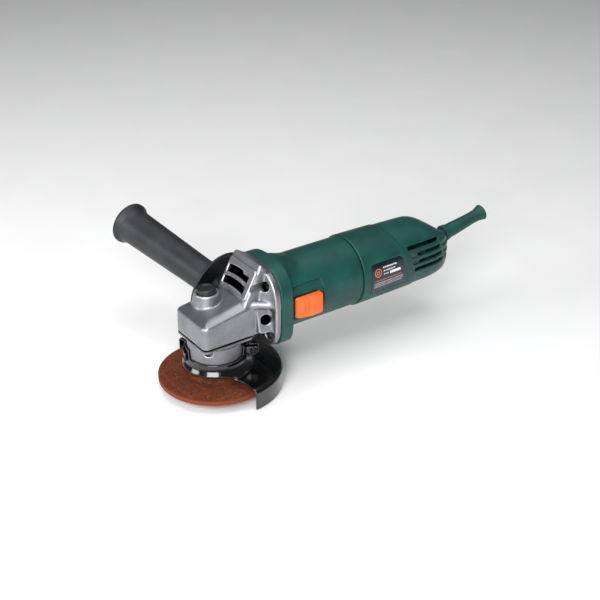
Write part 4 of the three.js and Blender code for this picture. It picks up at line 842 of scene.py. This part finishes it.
def tail_shell(x, y, z):
    """The moulded rear cover: its tapering section, a tail that slopes down to the cord, a rounded end, vent
    slots that run out round the rear corners, a shallow seat for the rating plate, and its hollow."""
    slope = (z - 91.7 + 0.667 * (x - 219.8)) / 1.202
    outside = smooth_max(tail_section(x, y, z, 0), slope, 7)
    outside = smooth_max(outside, x - tail_x + 0.6, 4)
    outside = smooth_max(outside, tail_low[0] - x, 0.9)
    inside = smooth_max(smooth_max(tail_section(x, y, z, 2.4), slope + 2.6, 5), x - tail_x + 3.2, 4)
    inside = np.minimum(inside, np.maximum(np.hypot(y, z - motor_axis) - 29.6, x - 143))
    solid = np.maximum(outside, -inside)
    for row in range(4):
        height = 79.2 - 7.2 * row
        start = 187.5 + 2.6 * row
        slot = rectangle(x - start - 19, z - height, 19, 1.9, 1.6)
        slot = np.maximum(slot, 12 - np.abs(y))
        solid = smooth_max(solid, -slot, 0.6)
        groove = rectangle(x - start - 60, z - height, 19, 1.9, 1.8)
        groove = np.maximum(groove, -(tail_section(x, y, z, 0) + 1.3))
        solid = smooth_max(solid, -groove, 0.8)
    seat = np.maximum(np.maximum(label_outline(x, z, 0), -(tail_section(x, y, z, 0) + 0.45)), y)
    solid = smooth_max(solid, -seat, 0.4)
    along = np.array([math.cos(math.radians(10)), math.sin(math.radians(10))])
    out = (x - 252.6) * along[0] + (z - 66.6) * along[1]
    across = np.hypot(y, -(x - 252.6) * along[1] + (z - 66.6) * along[0])
    return np.maximum(solid, -np.maximum(across - 6.0, -20 - out))


rear_points, rear_faces = implicit_skin(tail_shell, tail_low - 1.5, tail_high + 1.5, 0.78)
piece("Rear_Cover_Casing", rear_points, rear_faces, green_abs, "tool", ["rear_cover"], weld=False)


def rating_label():
    """A film that follows the cover's side: each point of a flat grid moves in to the section's surface, by
    forty halving steps; its inks are areas worked out from the grid's own millimetres."""
    columns, rows = 190, 130
    u = np.linspace(0.0, 1.0, columns)
    v = np.linspace(0.0, 1.0, rows)
    z = 49.9 + 27.2 * v[:, None] + 0 * u
    rear = 179 + 7 * (77.5 - z) / 28
    x = 143.9 + (rear - 0.4 - 143.9) * u
    low, high = np.full(z.shape, -36.0), np.full(z.shape, -18.0)
    for _ in range(40):
        middle = (low + high) / 2
        outside = tail_section(x, middle, z, 0.0) > -0.28
        low, high = np.where(outside, middle, low), np.where(outside, high, middle)
    top = np.stack([x, (low + high) / 2, z], -1)
    keep_corner = rectangle((u - 0.5) * 38, (v[:, None] - 0.5) * 27.2, 19.0, 13.6, 2.4)
    top = top.reshape(-1, 3)
    faces = sheet_grid(rows, columns)
    inside = (keep_corner.ravel() < 0.12)
    faces = faces[inside[faces].all(1)]
    return top, faces, (u * 38, v * 27.2)


def bars(across, up, places):
    """1 inside any of the rectangles [x0, x1, y0, y1], and 0 elsewhere."""
    mask = np.zeros(np.broadcast(across, up).shape, bool)
    for x0, x1, y0, y1 in places:
        mask |= (across > x0) & (across < x1) & (up > y0) & (up < y1)
    return mask


label_points, label_faces, (label_u, label_v) = rating_label()
label = piece("Rating_Label", label_points, label_faces, film, "tool", ["rating_plate"], weld=False)
across, up = np.broadcast_arrays(label_u[None, :], label_v[:, None])
ring = np.hypot(across - 7.0, up - 18.6)
emblem = (ring < 4.0) & (ring > 3.2)
emblem |= bars(across, up, [(5.4, 8.6, 17.0, 17.6), (5.4, 8.6, 19.6, 20.2), (5.4, 6.0, 17.0, 20.2), (8.0, 8.6, 17.0, 20.2)])
dashes = (np.sin(across * 4.1) + np.sin(across * 7.3 + 1.0)) > -0.5
white = bars(across, up, [(13, 30, 21.6, 22.8), (13, 27, 18.6, 19.7), (13, 18.5, 15.4, 16.5)]) & dashes
white |= bars(across, up, [(20.5, 33, 14.6, 17.2)])
small = bars(across, up, [(2.5, 35, 8.0, 8.9), (2.5, 35, 6.2, 7.1), (2.5, 33, 4.4, 5.3)]) & dashes
orange = emblem | (bars(across, up, [(3, 33, 10.6, 11.3)]) & dashes)
ink = np.empty(across.shape + (4,))
ink[:] = linear("#060A1C")
ink[white] = linear("#E9EAEC")
ink[small] = linear("#A9ACB8")
ink[orange] = linear("#E2733A")
label.data.attributes.new("ink", "FLOAT_COLOR", "POINT").data.foreach_set("color", ink.ravel())
thicken = label.modifiers.new("film", "SOLIDIFY")
thicken.thickness = 0.12 * MM
thicken.offset = -1


def strain_relief():
    """The sleeve: a tapering tube of [radius, distance] carried along a line that rises ten degrees and bends
    up a little more by a parabola, with a flared mouth and its bore."""
    profile = subdivided(filleted([
        [4.5, -16, 0], [8, -16, 0.6], [8, -10, 0.6], [5.6, -10, 0.3], [5.6, 0.4, 0.3], [8.2, 0.4, 0.6],
        [7.6, 4.5, 1.5], [6.9, 7.5, 3], [5.7, 38, 12], [6.0, 44.0, 4], [7.3, 49.0, 1.6], [7.9, 50.8, 0.5],
        [4.5, 50.8, 0.5], [4.5, -16, 0]], 6), 1.4)[:-1]
    angle = np.linspace(0, 2 * np.pi, 72, endpoint=False)
    radius, distance = profile[:, :1], profile[:, 1:]
    bend = 0.0006 * np.maximum(distance - 5, 0) ** 2
    rise = math.radians(10)
    tilt = rise + np.arctan(2 * 0.0006 * np.maximum(distance - 5, 0))
    points = np.empty((len(profile), len(angle), 3))
    sideways, upward = radius * np.cos(angle), radius * np.sin(angle)
    centre_x = 252.6 + distance * math.cos(rise) - bend * math.sin(rise)
    centre_z = 66.6 + distance * math.sin(rise) + bend * math.cos(rise)
    points[..., 0] = centre_x - upward * np.sin(tilt)
    points[..., 1] = sideways
    points[..., 2] = centre_z + upward * np.cos(tilt)
    return points.reshape(-1, 3), sheet_grid(len(profile), len(angle), True, True)


boot_points, boot_faces = strain_relief()
piece("Cord_Strain_Relief", boot_points, boot_faces, green_rubber, "tool", ["cord_boot"])


# ---------------------------------------------------------------- slide switch


def thumb_slide(x, y, z):
    """The switch's button: a rounded block with a plateau behind, a hollowed thumb step in front of it with
    grip ribs, a front ramp, and a foot that follows the round housing."""
    out = -y
    middle = (slider_low[2] + slider_high[2]) / 2
    half = (slider_high[2] - slider_low[2]) / 2
    front, rear = slider_low[0], slider_high[0]
    outline = rectangle(x - (front + rear) / 2, z - middle, (rear - front) / 2, half, 1.8)
    ramp_share = np.clip((x - front) / 9.5, 0, 1)
    hollow = 1.5 * np.exp(-((x - front - 10.5) / 3.6) ** 4)
    top = 31.2 + 5.4 * ramp_share - hollow - 0.9 * np.clip((x - front - 14) / 12, 0, 1)
    crown = out - top + 0.010 * (z - middle) ** 2
    solid = smooth_max(outline, crown * 0.9, 1.3)
    ribs = np.abs(((x - front - 7.2) / 1.5) % 1 - 0.5) * 1.5 - 0.42
    field = rectangle(x - front - 10.2, z - middle, 3.0, half - 4.2, 0.4)
    solid = np.where(field < 0, np.maximum(solid, -np.maximum(ribs, top - 0.75 - out)), solid)
    foot = np.maximum(29.95 - out, 27.6 - np.hypot(y, z - motor_axis))
    return np.maximum(solid, foot)


slide_points, slide_faces = implicit_skin(thumb_slide, slider_low - [1.5, 1.5, 1.5], slider_high + [1.5, 1.5, 1.5], 0.3)
piece("Switch_Thumb_Slide", slide_points, slide_faces, orange_abs, "switch", ["switch_slider"],
      weld=False)


# ---------------------------------------------------------------- guard


def polyline(radius, height, points):
    """Distance in the profile's plane to a line through the points."""
    nearest = np.full(np.broadcast(radius, height).shape, 1e3)
    for (r0, z0), (r1, z1) in zip(points, points[1:]):
        dr, dz = r1 - r0, z1 - z0
        share = np.clip(((radius - r0) * dr + (height - z0) * dz) / (dr * dr + dz * dz), 0, 1)
        nearest = np.minimum(nearest, np.hypot(radius - r0 - share * dr, height - z0 - share * dz))
    return nearest


def lug_shape(x, y, z, side):
    """One ear of the clamp: a rounded plate standing out from the neck, with its screw hole."""
    angle = math.radians(-30)
    out = x * math.cos(angle) + y * math.sin(angle)
    across = -x * math.sin(angle) + y * math.cos(angle)
    plate = rectangle(out - 31.4, z - 26.25, 5.5, 3.75, 1.6)
    plate = smooth_max(plate, np.abs(across - side * 2.7) - 1.0, 0.5)
    return np.maximum(plate, 2.2 - np.hypot(out - 32.8, z - 26.2))


def guard_shell(x, y, z):
    """The pressed guard: a sheet of even thickness along a profile of neck, flare, plate, rounded corner and
    skirt. The neck is high behind, the flare is trimmed short in front, and plate and skirt end at the half
    circle."""
    radius = np.hypot(x, y)
    angle = np.degrees(np.arctan2(y, x))
    thick = 0.65
    neck_radius = 24.95
    cut = math.radians(4)
    half = x * math.cos(cut) + y * math.sin(cut)
    outline = smooth_min(radius - 28.8, -half, 14)
    foot = polyline(radius, z, [(neck_radius, 25.4), (neck_radius + 0.1, 22.6), (25.9, 19.9), (27.8, 17.3),
                                (30.1, 14.9), (32.2, 13.3), (34.5, 12.85)]) - thick
    neck = np.maximum(np.abs(radius - neck_radius) - thick, np.maximum(22 - z, z - 34))
    middle = 63.0
    turn = (angle - middle + 180) % 360 - 180
    side = (np.abs(turn) - 115) * math.radians(1) * neck_radius
    lean = 0.1 * (z - 26)
    neck = smooth_max(neck, side + lean, 1.2)
    skirt = polyline(radius, z, [(32, 12.85), (53.6, 12.85), (55.6, 12.1), (56.9, 10.6), (57.0 - 0.05, 8.6),
                                 (57.0 - 0.05, -4.4)]) - thick
    sheet = smooth_max(np.minimum(foot, skirt), outline, 0.5)
    return np.minimum(smooth_min(sheet, neck, 0.6), lug_shape(x, y, z, -1))


guard_points, guard_faces = implicit_skin(guard_shell, guard_low - 1.5, guard_high + 1.5, 0.6)
piece("Wheel_Guard_Sheet", guard_points, guard_faces, powder, "guard", ["wheel_guard"], weld=False)


def clamp_strap(x, y, z):
    """The clamp's strap: an even band outside the neck, from its lug round the rear."""
    radius = np.hypot(x, y)
    angle = np.degrees(np.arctan2(y, x))
    turn = (angle - 72.5 + 180) % 360 - 180
    side = (np.abs(turn) - 99) * math.radians(1) * 27
    band = np.maximum(np.abs(radius - 27.0) - 0.8, np.abs(z - 26.25) - 3.75)
    return smooth_min(smooth_max(band, side, 0.6), lug_shape(x, y, z, 1), 0.8)


strap_points, strap_faces = implicit_skin(clamp_strap, band_low - 1.5, band_high + 1.5, 0.45)
piece("Clamp_Strap", strap_points, strap_faces, powder, "guard", ["guard_band"], weld=False)

# ---------------------------------------------------------------- wheel and its fixings

wheel_radius = disc_high[0]
rim_low, hub_top = disc_low[2], disc_high[2]
wheel_points, wheel_faces = turned([
    [8, rim_low + 4.2, 0], [17, rim_low + 4.2, 3], [22.5, rim_low, 4], [wheel_radius - 0.1, rim_low, 0.3],
    [wheel_radius - 0.1, rim_low + 4, 0.3], [24, rim_low + 4, 4], [18.5, hub_top, 3], [8, hub_top, 0],
    [8, rim_low + 4.2, 0]], 192, closed=True, longest=2.0)
grinding_wheel = crisp(piece("Grinding_Wheel", wheel_points, wheel_faces, abrasive, "spindle_set",
                             ["grinding_disc"]))
# painted highlight band: the outer 1.2 mm of the wheel's radius, which the abrasive material lightens as a lit rim
rim_co = np.empty(len(grinding_wheel.data.vertices) * 3)
grinding_wheel.data.vertices.foreach_get("co", rim_co)
rim_radius = np.hypot(rim_co[0::3], rim_co[1::3]) / MM
rim_highlight_share = np.clip((rim_radius - wheel_radius + 1.2) / 1.2, 0, 1)
grinding_wheel.data.attributes.new("rim_highlight", "FLOAT", "POINT").data.foreach_set("value", rim_highlight_share)


def pin_nut(x, y, z):
    """The clamp nut: a flanged disc with a step, two pin holes and a bevelled bore."""
    radius = np.hypot(x, y)
    solid = smooth_max(radius - 15, np.abs(z - (nut_low[2] + nut_high[2]) / 2) - (nut_high[2] - nut_low[2]) / 2, 0.8)
    solid = smooth_max(solid, -np.maximum(10.0 - radius, z - 3.0) - 99 * (radius < 8), 0.3)
    pins = np.hypot(np.abs(x) - 11, y) - 1.9
    solid = smooth_max(solid, -pins, 0.3)
    return smooth_max(solid, 5.2 - radius, 0.6)


nut_points, nut_faces = implicit_skin(pin_nut, nut_low - 1.2, nut_high + 1.2, 0.3)
piece("Wheel_Clamp_Nut", nut_points, nut_faces, dark_steel, "spindle_set", ["clamp_nut"], weld=False)


def pan_screw(x, y, z):
    """A pan-head screw looking along -Z: a domed head on a plain shank, with a tapered cross recess."""
    radius = np.hypot(x, y)
    dome = np.sqrt(radius ** 2 + (z - 3.0) ** 2 * 1.4) - 5.35
    head = smooth_max(smooth_max(radius - 3.5, -2.6 - z, 1.4), z, 0.3)
    head = smooth_max(head, dome - 0.6, 0.6)
    shank = np.maximum(radius - 1.8, np.maximum(-z - 0.5, z - 7))
    arm = np.minimum(np.maximum(np.abs(x) - 0.5, np.abs(y) - 1.9 + 0.5 * (z + 2.6)),
                     np.maximum(np.abs(y) - 0.5, np.abs(x) - 1.9 + 0.5 * (z + 2.6)))
    cross = np.maximum(arm, z + 0.9)
    return np.minimum(smooth_max(head, -cross, 0.15), shank)


screw_points, screw_faces = implicit_skin(pan_screw, [-4.2, -4.2, -3.2], [4.2, 4.2, 7.8], 0.2)
screw_places = []
for number, (sy, sz) in enumerate([(1, 1), (1, -1), (-1, 1), (-1, -1)], 1):
    screw_places.append(("housing_screw_%d" % number, (1, 0, 0)))
    screw_places.append(("cover_screw_%d" % number, (0, 0, 1)))
for node_name, looks in screw_places:
    low, high = node_box(node_name)
    centre = (low + high) / 2
    head_seat = low + 2.6 * np.array(looks)
    origin = np.where(np.array(looks) > 0, head_seat, centre)
    piece("Screw_" + node_name, placed(screw_points, origin, looks), screw_faces, dark_steel, "tool",
          [node_name], weld=False)

# ---------------------------------------------------------------- side handle

handle_direction = handle_axis(1)
grip_start = 17.7
grip_end = grip_start + 120
grip_points, grip_faces = turned([
    [0, grip_start + 25, 0], [4.6, grip_start + 25, 0], [4.6, grip_start, 0], [13.1, grip_start, 0.8],
    [14.2, grip_start + 1.6, 1], [14.5, grip_start + 30, 60], [16.5, grip_end - 12, 10], [17.1, grip_end - 8, 4],
    [19.2, grip_end - 4.6, 1.2], [19.9, grip_end - 3.4, 0.8], [19.9, grip_end - 1.2, 1.1],
    [18.6, grip_end, 0.8], [14.5, grip_end, 0.5], [13.8, grip_end - 0.9, 0.5], [0, grip_end - 0.9, 0]],
    128, longest=1.6)
crisp(piece("Side_Handle_Grip", placed(grip_points, handle_foot, handle_direction), grip_faces, grip_nylon,
            "side_handle", ["handle_grip"]), 50)
shield_points, shield_faces = turned([
    [4.6, 1, 0], [6.5, 1, 0.5], [6.5, 10, 2], [11, 15, 2], [20, 15.1, 4], [29.2, 14.8, 8], [33.3, 12.0, 0.8],
    [34.1, 12.5, 0.7], [33.7, 14.3, 0.8], [29.4, 17.2, 8], [20, 17.4, 4], [4.6, 17.4, 0], [4.6, 1, 0]],
    160, closed=True, longest=1.6)
crisp(piece("Hand_Shield", placed(shield_points, handle_foot, handle_direction), shield_faces, black_abs,
            "side_handle", ["handle_shield"]), 50)

# ---------------------------------------------------------------- floor, light and camera


def stage_material():
    """Matt photographic paper: pale and even, with a trace of tooth."""
    material, tree, shader, place = blank("matt_background_paper", **{"Roughness": 0.85, "Specular IOR Level": 0.2})
    tone = noise(tree, place, 60, 2)
    tree.links.new(ramp(tree, tone, [(0.3, "#F1F1F1"), (0.7, "#F4F4F4")]), shader.inputs["Base Color"])
    return material


floor_mesh = bpy.data.meshes.new("Floor")
floor_z = cad_box[0][2] - 0.0004
floor_mesh.from_pydata([(-6, -6, floor_z), (6, -6, floor_z), (6, 6, floor_z), (-6, 6, floor_z)], [], [(0, 1, 2, 3)])
floor = bpy.data.objects.new("Floor", floor_mesh)
bpy.context.scene.collection.objects.link(floor)
floor_mesh.materials.append(stage_material())


def soft_box(name, place, target, size, watts):
    """A square soft light that looks at a point."""
    lamp = bpy.data.lights.new(name, "AREA")
    lamp.shape = "SQUARE"
    lamp.size = size
    lamp.energy = watts
    obj = bpy.data.objects.new(name, lamp)
    obj.location = place
    obj.rotation_euler = (Vector(target) - Vector(place)).to_track_quat("-Z", "Y").to_euler()
    bpy.context.scene.collection.objects.link(obj)


aim = (0.09, 0.0, 0.05)
soft_box("Key_Softbox", (-0.8, -0.85, 0.75), aim, 0.8, 22)
soft_box("Top_Softbox", (0.1, 0.0, 1.5), aim, 1.4, 14)
soft_box("Left_Softbox", (-1.1, 0.35, 0.55), aim, 0.5, 6)

bpy.context.scene.view_settings.view_transform = "Standard"
world = bpy.data.worlds.new("Studio")
bpy.context.scene.world = world
world.use_nodes = True
world.node_tree.nodes["Background"].inputs["Color"].default_value = linear("#F2F4F6")
world.node_tree.nodes["Background"].inputs["Strength"].default_value = 0.14

camera_data = bpy.data.cameras.new("Camera")
camera_data.lens = 67.88
camera_data.sensor_width = 36
camera = bpy.data.objects.new("Camera", camera_data)
camera.location = (-0.4160, -0.7169, 0.5287)
camera.rotation_euler = Vector((0.5042, 0.7169, -0.4815)).to_track_quat("-Z", "Y").to_euler()
bpy.context.scene.collection.objects.link(camera)
bpy.context.scene.camera = camera
